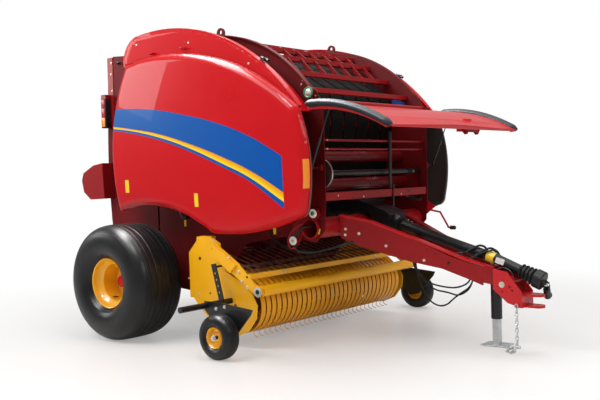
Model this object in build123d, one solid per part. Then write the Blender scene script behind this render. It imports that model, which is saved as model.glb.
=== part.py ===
from build123d import *
import os
from math import atan2, cos, degrees, radians, sin, tan

os.makedirs("parts", exist_ok=True)

# Towed round baler, in millimetres. +X forward to the tongue, +Y left, +Z up.
# Working places are measured from the wheel axle; everything is shifted by datum_x when it is written.

# driving dimensions: running gear
tyre_diameter = 1042
tyre_width = 546
tyre_wall = 16
rim_flange_diameter = 446
rim_depth = 190
wheel_plane_y = 1270
hub_radius = 68
spindle_radius = 34
axle_tube_radius = 75
gauge_tyre_diameter = 360
gauge_tyre_width = 150
gauge_rim_diameter = 170
gauge_x = 1380
gauge_reach = 379
gauge_pin_radius = 14

# driving dimensions: bale chamber and its side sheets
chamber_width = 1560
sheet = 8
front_x = 1950
split_x = -70
sheet_joint_x = 1060
split_gap = 25
roof_z = 2690
hinge_x = 0
hinge_drop = 150
hinge_pin_radius = 30
tail_x = -800
front_beam_top = 1290

# driving dimensions: shields, strips and hood
shield_reach = 332
shield_skin = 5
shield_depth = 96
shield_bulge_radius = 12000
shield_hinge_pin = 5
shield_hinge_drop = 118
strip_reach = 262
strip_skin = 5
strip_lip = 62
hood_drop = 674
hood_reach = 230
hood_skin = 6
hood_seal_radius = 27
hood_arm_reach = 32
hood_pin_radius = 12

# driving dimensions: tongue, hitch, jack and driveline
torque_x = 1800
torque_z = 1000
torque_radius = 85
tongue_plate = 10
tongue_flange = 60
tongue_front_y = 90
tongue_right_y = 520
tongue_left_y = 300
hitch_tip_x = 3440
hitch_jaw = 20
hitch_slot = 66
hitch_width = 110
hitch_pin_radius = 16
hitch_z = 420
jack_y = 160
jack_radius = 45
jack_leg_side = 56
jack_foot = 10
chain_top = 402
chain_wire = 6
chain_slack = 0.95
chain_hanging_links = 10
chain_falls = (70, 48, 30, 14)
chain_heading = 150
chain_turn = 16
chain_ground_links = 12
yoke_z = 600.95
hose_shelf_z = 756
hose_strap_z = 624
shaft_radius = 43

# driving dimensions: pickup, reel, wind guard and feed rotor
rotor_x = 640
rotor_z = 650
rotor_radius = 200
reel_x = 1205
reel_z = 355
band_radius = 235
band_sheet = 4
band_pitch = 67
band_gap = 17
tine_radius = 295
tine = 6
tine_rows = 4
pickup_reach = 307
guard_hinge_x = 1010
guard_hinge_z = 850
guard_arm_gap = 40
roller_x = 1520
roller_z = 505
roller_radius = 45

# clearances
run_fit = 0.05
side_gap = 3
touch_gap = 0.3

# worked out from the above
axle_z = tyre_diameter / 2
half_chamber = chamber_width / 2
sheet_out = half_chamber + sheet
hinge_z = roof_z - hinge_drop
shield_hinge_z = roof_z - shield_hinge_drop
strip_y = sheet_out + strip_reach
shield_y = sheet_out + shield_reach
shield_hinge_y = strip_y + 32
hood_hinge_x = front_x + 18
hood_hinge_z = roof_z - hood_drop
hood_half = sheet_out + hood_reach
hood_arm_y = sheet_out + hood_arm_reach
pickup_plate_y = sheet_out + pickup_reach
guard_arm_y = pickup_plate_y + guard_arm_gap
gauge_y = pickup_plate_y + gauge_reach
gauge_z = gauge_tyre_diameter / 2
tongue_nose_x = hitch_tip_x - 400
chain_x = hitch_tip_x - 178
jack_x = tongue_nose_x - 85
rear_box_x = tail_x - 305
yoke_x = hitch_tip_x + 42
yoke_radius = 38
shaft_start = (2090, 1008)
shaft_slope = degrees(atan2(shaft_start[1] - yoke_z, yoke_x - shaft_start[0]))
reach_x = yoke_x + yoke_radius * sin(radians(shaft_slope))
datum_x = -(rear_box_x + reach_x) / 2

sides = (("right", -1), ("left", 1))


def at(point, y=0.0):
    return Vector(point[0], y, point[1])


def outline(start, *steps):
    """A closed face in the XZ plane: a step is an (x, z) point, or a middle and an end point of an arc."""
    edges = []
    here = start
    for step in steps:
        if isinstance(step[0], tuple):
            edges.append(ThreePointArc(at(here), at(step[0]), at(step[1])))
            here = step[1]
        else:
            edges.append(Line(at(here), at(step)))
            here = step
    if here != start:
        edges.append(Line(at(here), at(start)))
    return Face(Wire(edges))


def between(face, y_from, y_to):
    """The face of the XZ plane, made solid from one Y to another."""
    low, high = min(y_from, y_to), max(y_from, y_to)
    return extrude(face.moved(Pos(0, low, 0)), amount=high - low, dir=(0, 1, 0))


def rod(start, end, radius, bore=0.0):
    """A round bar, or a tube with a bore, from one point to another."""
    axis = Vector(*end) - Vector(*start)
    plane = Plane(origin=start, z_dir=axis)
    section = Circle(radius)
    if bore:
        section = section - Circle(bore)
    return extrude(plane * section, amount=axis.length)


def cross_rod(x, z, y_from, y_to, radius, bore=0.0):
    return rod((x, min(y_from, y_to), z), (x, max(y_from, y_to), z), radius, bore)


def block(x, y, z):
    """A box between two values of each coordinate."""
    size = (x[1] - x[0], y[1] - y[0], z[1] - z[0])
    centre = ((x[0] + x[1]) / 2, (y[0] + y[1]) / 2, (z[0] + z[1]) / 2)
    return Pos(*centre) * Box(*size)


def y_span(side, y_from, y_to):
    return sorted((side * y_from, side * y_to))


def turned(points):
    """A solid turned about the Y axis from (radius, y) points."""
    face = make_face(Polyline(*[(r, y, 0) for r, y in points], close=True))
    return revolve(face, axis=Axis.Y)


def joined(*pieces):
    whole = pieces[0]
    rest = pieces[1:]
    return whole.fuse(*rest) if rest else whole


# main wheels

def main_tyre(side):
    radius = tyre_diameter / 2
    half = tyre_width / 2
    bead = rim_flange_diameter / 2
    shoulder = 0.62 * half
    groove = 9
    ribs = []
    for edge in (-0.56, -0.19, 0.19, 0.56):
        ribs += [(radius, edge * half - 9), (radius - groove, edge * half - 5)]
        ribs += [(radius - groove, edge * half + 5), (radius, edge * half + 9)]
    ring = [(bead, -rim_depth), (bead + 30, -half * 0.80), (bead + 110, -half), (radius - 130, -half * 0.97)]
    ring += [(radius - 45, -half * 0.82), (radius - 8, -shoulder)]
    ring += ribs
    ring += [(r, -y) for r, y in reversed(ring[:6])]
    wall = tyre_wall
    inside = [(bead, rim_depth - wall), (bead + 38, half * 0.80 - wall), (bead + 110, half - wall)]
    inside += [(radius - 130, half * 0.97 - wall), (radius - 60, half * 0.82 - wall), (radius - 34, shoulder - wall)]
    ring += inside + [(r, -y) for r, y in reversed(inside)]
    tyre = turned(ring)
    return Pos(0, side * wheel_plane_y, axle_z) * tyre


def main_rim(side):
    flange = rim_flange_diameter / 2
    seat = flange - touch_gap
    well = flange - 48
    disc_y = -40
    disc = 12
    points = [(spindle_radius + run_fit, disc_y - 60), (hub_radius, disc_y - 60), (hub_radius, disc_y - disc)]
    points += [(well - 40, disc_y - disc), (well - 18, disc_y + 30), (well - 8, disc_y + 30)]
    points += [(well - 8, -rim_depth + 40), (flange - 22, -rim_depth + 12), (flange - 6, -rim_depth - 16)]
    points += [(seat, -rim_depth - 16), (seat, -rim_depth + 30), (well, -rim_depth + 62)]
    points += [(well, rim_depth - 62), (seat, rim_depth - 30), (seat, rim_depth + 16)]
    points += [(flange - 6, rim_depth + 16), (flange - 22, rim_depth - 12), (well - 8, rim_depth - 50)]
    points += [(well - 8, disc_y + 42), (well - 26, disc_y + 42), (well - 48, disc_y), (hub_radius, disc_y)]
    points += [(hub_radius, disc_y + 70), (hub_radius - 26, disc_y + 92), (spindle_radius + run_fit, disc_y + 92)]
    rim = turned([(r, side * y) for r, y in points])
    return Pos(0, side * wheel_plane_y, axle_z) * rim


# gauge wheels

def gauge_tyre(side):
    radius = gauge_tyre_diameter / 2
    half = gauge_tyre_width / 2
    seat = gauge_rim_diameter / 2
    ring = [(seat, -half + 22), (seat + 24, -half), (radius - 40, -half), (radius - 12, -half + 12), (radius, -half + 30)]
    ring += [(r, -y) for r, y in reversed(ring)]
    return Pos(gauge_x, side * gauge_y, gauge_z) * turned(ring)


def gauge_rim(side):
    seat = gauge_rim_diameter / 2 - touch_gap
    half = gauge_tyre_width / 2 - 22
    bore = gauge_pin_radius + run_fit
    points = [(bore, -half), (bore + 14, -half), (bore + 14, -6), (seat - 14, -6), (seat - 9, -half - 4)]
    points += [(seat, -half - 4), (seat, half + 4), (seat - 9, half + 4), (seat - 14, 6), (bore + 14, 6)]
    points += [(bore + 14, half), (bore, half)]
    return Pos(gauge_x, side * gauge_y, gauge_z) * turned(points)


# main frame

axle_out = wheel_plane_y - 110


def side_sheet(side):
    """A rear and a front plate that butt at sheet_joint_x, with the flange, pins and bearing they carry."""
    face = outline(
        (split_x, hinge_z - 90),
        (split_x, hinge_z + 40),
        (hinge_x + 60, roof_z - 20),
        (hinge_x + 300, roof_z),
        (800, roof_z),
        ((1390, roof_z - 170), (1880, roof_z - 590)),
        (front_x, roof_z - 660),
        (front_x, front_beam_top - 50),
        (torque_x + 130, torque_z - 20),
        (torque_x + 40, torque_z - torque_radius - 30),
        (1480, 930),
        (sheet_joint_x, 850),
        (rotor_x, 400),
        (rotor_x - 220, 385),
        (90, axle_z - axle_tube_radius - 30),
        (split_x, axle_z - axle_tube_radius - 20),
    )
    plate = between(face, side * half_chamber, side * sheet_out)
    flange_depth = 45
    flange = between(
        outline((800, roof_z), ((1390, roof_z - 170), (1880, roof_z - 590)), (1874, roof_z - 597),
                ((1384, roof_z - 178), (800, roof_z - 9))),
        side * sheet_out, side * (sheet_out + flange_depth),
    )
    hinge_pin = cross_rod(hinge_x, hinge_z, *y_span(side, half_chamber, sheet_out + 36), hinge_pin_radius)
    hood_lug = block((front_x - 30, hood_hinge_x + 18), y_span(side, half_chamber, sheet_out + 14),
                     (hood_hinge_z - 22, hood_hinge_z + 18))
    hood_pin = cross_rod(hood_hinge_x, hood_hinge_z, *y_span(side, half_chamber, hood_arm_y + 12), hood_pin_radius)
    pickup_pin = cross_rod(rotor_x, rotor_z, *y_span(side, half_chamber, sheet_out + 70), 32)
    for x, z, radius in ((rotor_x, rotor_z, 26), (0, axle_z, axle_tube_radius + touch_gap),
                         (torque_x, torque_z, torque_radius + touch_gap)):
        hole = cross_rod(x, z, *y_span(side, half_chamber - 5, sheet_out + 200), radius)
        plate = plate - hole
        pickup_pin = pickup_pin - hole
    whole = joined(plate, flange, hinge_pin, pickup_pin, hood_lug, hood_pin, lifting_eye(side), roof_bearing(side))
    joint = block((sheet_joint_x - touch_gap / 2, sheet_joint_x + touch_gap / 2),
                  y_span(side, half_chamber - 5, sheet_out + 100), (0, roof_z + 100))
    return Compound((whole - joint).solids())


def axle():
    tube = cross_rod(0, axle_z, -(wheel_plane_y - 300), wheel_plane_y - 300, axle_tube_radius, axle_tube_radius - 12)
    parts = [tube]
    for _, side in sides:
        stub = cross_rod(0, axle_z, *y_span(side, wheel_plane_y - 340, axle_out + 70), spindle_radius)
        cap = cross_rod(0, axle_z, *y_span(side, wheel_plane_y - 318, wheel_plane_y - 290), axle_tube_radius)
        parts += [stub, cap]
    return joined(*parts)


def torque_tube():
    return cross_rod(torque_x, torque_z, -(sheet_out + 30), sheet_out + 30, torque_radius, torque_radius - 9)


def front_beam():
    top = front_beam_top
    angle = outline((front_x - 90, top), (front_x - 8, top), (front_x - 8, top - 66), (front_x - 15, top - 66),
                    (front_x - 15, top - 7), (front_x - 90, top - 7))
    reach = half_chamber - touch_gap
    return between(angle, -reach, reach)


def lower_cross_tubes():
    reach = half_chamber - touch_gap
    return [cross_rod(x, z, -reach, reach, r) for x, z, r in ((1240, 930, 30), (250, 520, 38))]


# top of the chamber: cross bars with belt guides between them

guide_bars = ((870, roof_z - 35), (1094, roof_z - 100), (1294, roof_z - 203), (1510, roof_z - 360),
              (1715, roof_z - 525))
guide_bar_width = 60
guide_pitch = 190


def guide_grid():
    reach = half_chamber - touch_gap
    half_bar = guide_bar_width / 2
    pieces = []
    for x, z in guide_bars:
        pieces.append(block((x - half_bar, x + half_bar), (-reach, reach), (z - 40, z)))
    seat = half_bar + touch_gap
    for (x0, z0), (x1, z1) in zip(guide_bars[:3], guide_bars[1:4]):
        fin = outline((x0 + seat, z0 - 8), (x1 - seat, z1 - 8), (x1 - seat, z1 - 60), (x0 + seat, z0 - 60))
        for i in range(-3, 5):
            y = (i - 0.5) * guide_pitch
            pieces.append(between(fin, y - 3, y + 3))
    return pieces


def lifting_eye(side):
    y = side * (sheet_out + 12)
    ring = outline((800, roof_z - 30), (795, roof_z + 12), ((840, roof_z + 62), (885, roof_z + 12)), (880, roof_z - 30))
    eye = between(ring, y - 9, y + 9)
    return eye - cross_rod(840, roof_z + 24, y - 20, y + 20, 20)


# upper strips beside the chamber roof, fixed

strip_top = (
    ((-168, roof_z - 35), (0, roof_z + 67)),
    ((520, roof_z + 75), (1017, roof_z - 44)),
    ((1420, roof_z - 250), (1900, roof_z - 700)),
)
strip_low = (
    (1845, roof_z - 730),
    ((1420, roof_z - 428), (977, roof_z - 270)),
    ((400, roof_z - 185), (-165, roof_z - 220)),
)


strip_brackets = ((200, roof_z + 13), (700, roof_z + 6), (1480, roof_z - 420))


def strip_face():
    return outline((-205, roof_z - 190), *strip_top, *strip_low)


def top_strip(side):
    face = strip_face()
    outer = between(face, side * (strip_y - strip_lip), side * strip_y)
    core = offset(face, amount=-strip_skin)
    inner = between(core, side * (strip_y - strip_lip - 20), side * (strip_y - strip_skin))
    skin = outer - inner
    deck_face = outline(
        (0, roof_z + 10), ((520, roof_z + 16), (985, roof_z - 98)), ((1388, roof_z - 302), (1850, roof_z - 735)),
        (1845, roof_z - 740), ((1384, roof_z - 308), (983, roof_z - 103)), ((520, roof_z + 10), (0, roof_z + 4)),
    )
    deck = between(deck_face, side * (sheet_out + 46), side * (strip_y - strip_skin - touch_gap))
    hinges = []
    for x, z in strip_brackets:
        reach = y_span(side, sheet_out + touch_gap, strip_y - strip_skin + 1)
        hinges.append(block((x - 14, x + 14), reach, (z - 60, z)))
    for x in shield_hinge_places:
        for end in (-1, 1):
            leaf_x = sorted((x + end * (shield_eye_length / 2 + 1), x + end * (shield_eye_length / 2 + 15)))
            hinges.append(block(leaf_x, y_span(side, strip_y - 2, shield_hinge_y + 7),
                                (shield_hinge_z - 7, shield_hinge_z + 7)))
        reach = shield_eye_length / 2 + 15
        hinges.append(rod((x - reach, side * shield_hinge_y, shield_hinge_z),
                          (x + reach, side * shield_hinge_y, shield_hinge_z), shield_hinge_pin))
    return joined(skin, deck, *hinges)


# gull-wing side shields

shield_start = (-130, roof_z - 182)
shield_steps = (
    ((430, roof_z - 142), (977, roof_z - 220)),
    ((1470, roof_z - 405), (1905, roof_z - 705)),
    (1930, roof_z - 745),
    ((2014, roof_z / 2 + 255), (1985, 1190)),
    ((1965, 1135), (1911, 1107)),
    ((1460, 985), (1011, 957)),
    ((965, 961), (925, 985)),
    (699, 1092),
    ((180, 1195), (-308, 1131)),
    ((-394, roof_z / 2 + 295), (-170, roof_z - 230)),
)
shield_centre = (830, roof_z / 2 + 405)
shield_hinge_places = (220, 640)
shield_eye_length = 24


def shield_body(inset):
    face = outline(shield_start, *shield_steps)
    if inset:
        face = offset(face, amount=-inset)
    return face


def shield(side):
    rise = 42
    radius = shield_bulge_radius
    top_y = shield_y + rise
    outer = between(shield_body(0), side * (shield_y - shield_depth), side * (top_y + 60))
    ball = Pos(shield_centre[0], side * (top_y - radius), shield_centre[1]) * Sphere(radius)
    outer = outer & ball
    inner = between(shield_body(shield_skin), side * (shield_y - shield_depth - 10), side * (top_y + 60))
    core = Pos(shield_centre[0], side * (top_y - radius - shield_skin), shield_centre[1]) * Sphere(radius)
    inner = inner & core
    strip_room = between(offset(strip_face(), amount=14), side * (strip_y - 90), side * (strip_y + side_gap))
    shell = outer - inner - strip_room
    eyes = []
    for x in shield_hinge_places:
        span = (x - shield_eye_length / 2, x + shield_eye_length / 2)
        ring = rod((span[0], side * shield_hinge_y, shield_hinge_z), (span[1], side * shield_hinge_y, shield_hinge_z), 11)
        tab = block(span, y_span(side, shield_hinge_y - 5, shield_hinge_y + 5), (shield_hinge_z - 44, shield_hinge_z - 6))
        eyes += [ring, tab]
    bore = rod((0, side * shield_hinge_y, shield_hinge_z), (900, side * shield_hinge_y, shield_hinge_z),
               shield_hinge_pin + run_fit)
    return joined(shell, *eyes) - bore


# hood over the net wrap compartment, standing open

hood_arc = ((hood_hinge_x + 4, hood_hinge_z - 24), (hood_hinge_x + 392, hood_hinge_z - 61),
            (hood_hinge_x + 784, hood_hinge_z - 226))


def hood_profile(drop, thickness):
    a, m, b = hood_arc
    low = [(p[0], p[1] - drop) for p in (b, m, a)]
    lower = [(p[0] - 2, p[1] - drop - thickness) for p in (b, m, a)]
    return outline(low[2], (low[1], low[0]), lower[0], (lower[1], lower[2]))


def hood_panel():
    half = hood_half
    skin = between(hood_profile(0, hood_skin), -half, half)
    for _, side in sides:
        notch_y = y_span(side, half_chamber - 10, sheet_out + 24)
        skin = skin - block((hood_hinge_x - 20, hood_hinge_x + 44), notch_y, (hood_hinge_z - 60, hood_hinge_z))
    pieces = [skin]
    for _, side in sides:
        flange = between(hood_profile(0, 46), side * (half - 6), side * half)
        pieces.append(flange)
    pieces.append(between(hood_profile(0, 38), -90, -84))
    pieces.append(between(hood_profile(0, 38), 84, 90))
    front = hood_arc[2]
    pieces.append(block((front[0] - 8, front[0] - 2), (-half, half), (front[1] - 44, front[1] - 2)))
    hinge_bore = hood_pin_radius + run_fit
    for y in (-hood_arm_y, hood_arm_y):
        arm = outline((hood_hinge_x, hood_hinge_z + 24), (hood_hinge_x + 54, hood_arc[0][1] - 4),
                      (hood_hinge_x + 112, hood_hinge_z - 40), (hood_hinge_x + 22, hood_hinge_z - 61),
                      (hood_hinge_x - 24, hood_hinge_z - 4))
        arm = between(arm, y - 5, y + 5) - cross_rod(hood_hinge_x, hood_hinge_z, y - 9, y + 9, hinge_bore)
        pieces.append(arm)
    pieces.append(block((front[0] - 192, front[0] - 112), (270, 390), (front[1] - 25, front[1] + 76)))
    return joined(*pieces)


def hood_seals():
    a, m, b = hood_arc
    half = hood_half
    pieces = []
    for _, side in sides:
        y = side * (half + hood_seal_radius + touch_gap)
        path = ThreePointArc(at(a, y), at(m, y), at(b, y))
        section = Plane(origin=at(a, y), z_dir=path % 0) * Circle(hood_seal_radius)
        pieces.append(sweep(section, path=path))
    return Compound(pieces)


def hood_bar():
    reach = half_chamber - touch_gap
    return cross_rod(front_x - 45, roof_z - 660, -reach, reach, 22)


# tongue

tongue_rear_x = 1880
tongue_end_x = tongue_nose_x + 10


def tongue_line(*stations):
    """Points from (share of the beam's length, height) stations."""
    return tuple((tongue_rear_x + share * (tongue_end_x - tongue_rear_x), z) for share, z in stations)


tongue_top = tongue_line((0, 1100), (0.2051, 1045), (0.5556, 875), (0.8034, 745), (1, 668))
tongue_low = tongue_line((1, 525), (0.9231, 565), (0.7265, 655), (0.5043, 710), (0.3162, 775), (0.1368, 840),
                         (0.0085, 905))
tongue_nose = ((tongue_nose_x - 10, 675), (tongue_nose_x + 50, 655), (tongue_nose_x + 190, 600),
               (tongue_nose_x + 190, 440), (tongue_nose_x - 10, 534))


def beam_y(rear_y, x):
    """Where the outer face of the beam that starts at rear_y lies at x."""
    front = tongue_front_y if rear_y > 0 else -tongue_front_y
    return rear_y + (front - rear_y) * (x - tongue_rear_x) / (tongue_nose_x - tongue_rear_x)


def beam_turn(rear_y):
    """Moves a piece made along the X axis onto the line of the beam that starts at rear_y."""
    angle = degrees(atan2(beam_y(rear_y, tongue_nose_x) - rear_y, tongue_nose_x - tongue_rear_x))
    return Pos(tongue_rear_x, rear_y, 0) * Rot(0, 0, angle) * Pos(-tongue_rear_x, 0, 0)


def tongue_beam(rear_y):
    """One channel of the tongue: its flanges turn inwards."""
    face = outline(*tongue_top, *tongue_low)
    inward = -1 if rear_y > 0 else 1
    outer = between(face, 0, inward * tongue_flange)
    hollow = between(offset(face, amount=-tongue_plate), inward * tongue_plate, inward * (tongue_flange + 10))
    return beam_turn(rear_y) * (outer - hollow)


def tongue():
    pieces = [tongue_beam(-tongue_right_y), tongue_beam(tongue_left_y)]
    nose = outline(*tongue_nose)
    for _, side in sides:
        pieces.append(between(nose, side * tongue_front_y, side * (tongue_front_y - tongue_plate)))
    inside = tongue_front_y - tongue_plate + 1
    pieces.append(block((tongue_nose_x - 5, tongue_nose_x + 185), (-inside, inside), (560, 572)))
    shelf_x = tongue_line((0.364, 0))[0][0]
    shelf_y = (beam_y(-tongue_right_y, shelf_x) + 37, beam_y(tongue_left_y, shelf_x) + 2)
    pieces.append(block((shelf_x - 6, shelf_x + 6), shelf_y, (768, 885)))
    pieces.append(block((shelf_x - 71, shelf_x + 6), (-120, 110), (hose_shelf_z, 772)))
    strap_x = (tongue_nose_x - 240, tongue_nose_x - 180)
    pieces.append(block(strap_x, (-150, 108), (hose_strap_z, hose_strap_z + 12)))
    rest_x = tongue_nose_x - 38
    pieces.append(block((rest_x - 6, rest_x + 6), (-30, 30), (566, 690)))
    pieces.append(block((rest_x - 12, tongue_nose_x), (-inside, inside), (566, 578)))
    pieces.append(block((jack_x - 50, jack_x + 50), (tongue_front_y - 2, jack_y - jack_radius - touch_gap), (530, 600)))
    tube = cross_rod(torque_x, torque_z, -900, 900, torque_radius + touch_gap)
    saddle = shaft_solid(shaft_radius + touch_gap, rest_x - 100, rest_x + 100)
    return joined(*pieces) - tube - saddle


def hitch():
    low, high = hitch_z - hitch_slot / 2, hitch_z + hitch_slot / 2
    bottom, top = low - hitch_jaw, high + hitch_jaw
    half = hitch_width / 2
    cheek_y = tongue_front_y + touch_gap
    pieces = []
    neck_x = hitch_tip_x - 140
    cheek = outline((neck_x - 240, 662), (neck_x - 120, 640), (neck_x, top + 10), (neck_x, bottom), (neck_x - 120, 400),
                    (neck_x - 240, 500))
    for _, side in sides:
        pieces.append(between(cheek, side * cheek_y, side * (cheek_y + 14)))
    pieces.append(block((neck_x - 68, neck_x), (-cheek_y - 5, cheek_y + 5), (bottom, top)))
    for z in (bottom, high):
        jaw = block((neck_x - 10, hitch_tip_x - half), (-half, half), (z, z + hitch_jaw))
        nose = rod((hitch_tip_x - half, 0, z), (hitch_tip_x - half, 0, z + hitch_jaw), half)
        pieces += [jaw, nose]
    chain_pin_z = chain_top - chain_wire - 5 - touch_gap
    pieces.append(cross_rod(chain_x, chain_pin_z, -(cheek_y + 10), -(tongue_front_y + 42), 5))
    pin = rod((hitch_tip_x - half, 0, bottom - 10), (hitch_tip_x - half, 0, top + 10), hitch_pin_radius)
    return joined(*pieces) - pin


def jack_tube():
    tube = rod((jack_x, jack_y, 220), (jack_x, jack_y, 610), jack_radius)
    bore = block((jack_x - jack_leg_side / 2 - 0.5, jack_x + jack_leg_side / 2 + 0.5),
                 (jack_y - jack_leg_side / 2 - 0.5, jack_y + jack_leg_side / 2 + 0.5), (210, 600))
    bracket = block((jack_x - 40, jack_x + 40), (jack_y - jack_radius, jack_y), (535, 595))
    return joined(tube, bracket) - bore


def jack_leg():
    half = jack_leg_side / 2
    leg = block((jack_x - half, jack_x + half), (jack_y - half, jack_y + half), (jack_foot, 280))
    foot = block((jack_x - 110, jack_x + 110), (jack_y - 85, jack_y + 85), (0, jack_foot))
    return joined(leg, foot)


# driveline

def shaft_point(x):
    drop = (x - shaft_start[0]) * tan(radians(shaft_slope))
    return (x, 0, shaft_start[1] - drop)


def shaft_solid(radius, x_from, x_to):
    return rod(shaft_point(x_from), shaft_point(x_to), radius)


def driveline_guard():
    face = outline((1690, 1100), (1690, 1205), (1800, 1205), (2080, 1110), (2120, 1075), (2085, 950), (1970, 1000),
                   (1900, 1100))
    guard = between(face, -130, 130)
    bell = shaft_solid(78, 2060, 2150)
    gearbox = block((1480, 1692), (-120, 120), (1100, 1285))
    shaft = cross_rod(1585, 1200, 118, half_chamber - touch_gap, 32)
    return joined(guard, bell, gearbox, shaft)


def pto_shaft():
    bellows_x = yoke_x - 382
    tube = shaft_solid(shaft_radius, 2150 + touch_gap, bellows_x)
    pieces = [tube]
    for i in range(6):
        x = bellows_x + i * 42
        radius = 50 + 2.5 * i
        pieces.append(shaft_solid(radius, x, x + 22))
        pieces.append(shaft_solid(radius - 12, x + 20, x + 43))
    pieces.append(shaft_solid(62, yoke_x - 132, yoke_x - 77))
    pieces.append(shaft_solid(yoke_radius, yoke_x - 82, yoke_x))
    return joined(*pieces)


def hose_rack():
    """A punched strip along the outside of the left beam, on two spacers."""
    strip = block((1990, 2340), (12, 18), (-70, 0))
    for i in range(7):
        strip = strip - cross_rod(2020 + i * 48, -35, 5, 25, 16)
    spacers = [block((x, x + 16), (touch_gap, 13), (-45, -25)) for x in (1992, 2322)]
    fall = degrees(atan2(tongue_top[2][1] - tongue_top[1][1], tongue_top[2][0] - tongue_top[1][0]))
    tilt = Pos(1990, 0, 1078) * Rot(0, -fall, 0) * Pos(-1990, 0, 0)
    return beam_turn(tongue_left_y) * tilt * joined(strip, *spacers)


# net wrap compartment

net_axis = (1860, 1445)
guide_rod_x = 1905


def net_tube():
    reach = half_chamber - touch_gap
    pieces = []
    tube_end = reach - 160
    for y_from, y_to, radius in ((-tube_end, reach - 50, 25), (-tube_end - 40, -tube_end + 1, 42),
                                 (-reach, -tube_end - 30, 18), (reach - 60, reach, 18), (-reach + 45, -reach + 57, 125)):
        pieces.append(cross_rod(*net_axis, y_from, y_to, radius))
    return joined(*pieces)


def feed_rolls():
    reach = half_chamber - touch_gap
    return [cross_rod(x, z, -reach, reach, r) for x, z, r in ((1640, 1590, 48), (1690, 1350, 52))]


def guide_rods():
    reach = half_chamber - touch_gap
    return Compound([cross_rod(guide_rod_x, hood_hinge_z - drop, -reach, reach, 9) for drop in (371, 298)])


def front_lever():
    x = (guide_rod_x + 14, guide_rod_x + 24)
    top = hood_hinge_z - 216
    neck_z = front_beam_top + 0.2157 * (top - front_beam_top)
    upper = block(x, (190, 222), (neck_z, top))
    lower = block(x, (198, 212), (front_beam_top + touch_gap, neck_z + 1))
    return joined(upper, lower)


def roof_bearing(side):
    y0 = sheet_out + 46
    plate = outline((1700, roof_z - 510), (1760, roof_z - 460), (1905, roof_z - 585), (1890, roof_z - 660),
                    (1830, roof_z - 655))
    body = between(plate, side * sheet_out, side * (sheet_out + 10))
    disc = cross_rod(1835, roof_z - 585, *y_span(side, sheet_out + 9, sheet_out + 40), 46)
    return joined(body, disc)


def disc_bracket():
    """Bent bracket on the right side sheet, with two guide discs on its pins."""
    face = outline((1600, 850), (1665, 858), (1705, 940), (1790, 1000), (1905, 1115), (1880, 1165), (1820, 1160),
                   (1700, 1085), (1610, 1030))
    low, high = -(sheet_out + 20), -(sheet_out + 12)
    plate = between(face, low, high)
    room = cross_rod(torque_x, torque_z, low - 5, high + 5, torque_radius + touch_gap)
    spacer = cross_rod(1650, 1000, high - 1, -sheet_out, 12)
    pieces = [plate - room, spacer]
    for x, z in ((1650, 900), (1867, 1127)):
        pieces.append(cross_rod(x, z, low - 36, low, 14))
        pieces.append(cross_rod(x, z, low - 44, low - 36, 36))
    return joined(*pieces)


def crank_handle():
    y = sheet_out + 82
    plate = outline((1740, 1035), (1835, 1215), (1940, 1160), (2030, 1104), (1870, 985))
    body = between(plate, sheet_out, sheet_out + 6)
    shelf = block((1840, 1900), (sheet_out, y + 20), (1060, 1070))
    stem = rod((1860, y, 1078), (2040, y, 1045), 9)
    arm = rod((2032, y, 1047), (2120, y, 903), 9)
    knob = rod((2112, y, 903), (2185, y, 900), 8)
    grip = rod((2140, y, 902), (2190, y, 900), 17)
    room = cross_rod(torque_x, torque_z, sheet_out - 10, sheet_out + 60, torque_radius + touch_gap)
    return joined(body, shelf, stem, arm, knob, grip) - room


# belts and rollers of the front chamber

belt_thickness = 7
belt_count = 8
belt_width = 172


def belts(face):
    pieces = []
    pitch = chamber_width / belt_count
    for i in range(belt_count):
        y = -half_chamber + pitch * (i + 0.5)
        pieces.append(between(face, y - belt_width / 2, y + belt_width / 2))
    return Compound(pieces)


def front_belts():
    t = belt_thickness
    face = outline(
        (-40, roof_z - 194 + t), ((700, roof_z - 130), (1250, roof_z - 320)), (1540, roof_z - 500),
        (1575, roof_z - 580), (1575, roof_z - 790), (1500, 1500), (1430, 980), (1430 - t, 980), (1500 - t, 1500),
        (1575 - t, roof_z - 790), (1575 - t, roof_z - 582), (1536, roof_z - 506), (1246, roof_z - 326),
        ((700, roof_z - 130 - t), (-40, roof_z - 194)),
    )
    return belts(face)


def front_roller_set():
    reach = half_chamber - touch_gap
    rollers = ((1510, roof_z - 575, 40), (1506.6, roof_z - 790, 60), (1342.8, 985, 80), (0, roof_z - 240, 45))
    return [cross_rod(x, z, -reach, reach, r) for x, z, r in rollers]


def feed_rotor():
    drum = cross_rod(rotor_x, rotor_z, -half_chamber + 20, half_chamber - 20, 85)
    pieces = [drum]
    stars = 13
    pitch = (chamber_width - 200) / (stars - 1)
    for i in range(stars):
        y = -half_chamber + 100 + i * pitch
        points = []
        for k in range(4):
            for radius, lead in ((80, 0), (rotor_radius, 38), (rotor_radius - 12, 48), (80, 62)):
                angle = radians(90 * k + lead + 30 * (i % 3))
                points.append((rotor_x + radius * cos(angle), rotor_z + radius * sin(angle)))
        pieces.append(between(outline(points[0], *points[1:]), y - 6, y + 6))
    stub = cross_rod(rotor_x, rotor_z, -sheet_out - 60, sheet_out + 60, 26 - run_fit)
    return joined(*pieces, stub)


# tailgate

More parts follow.
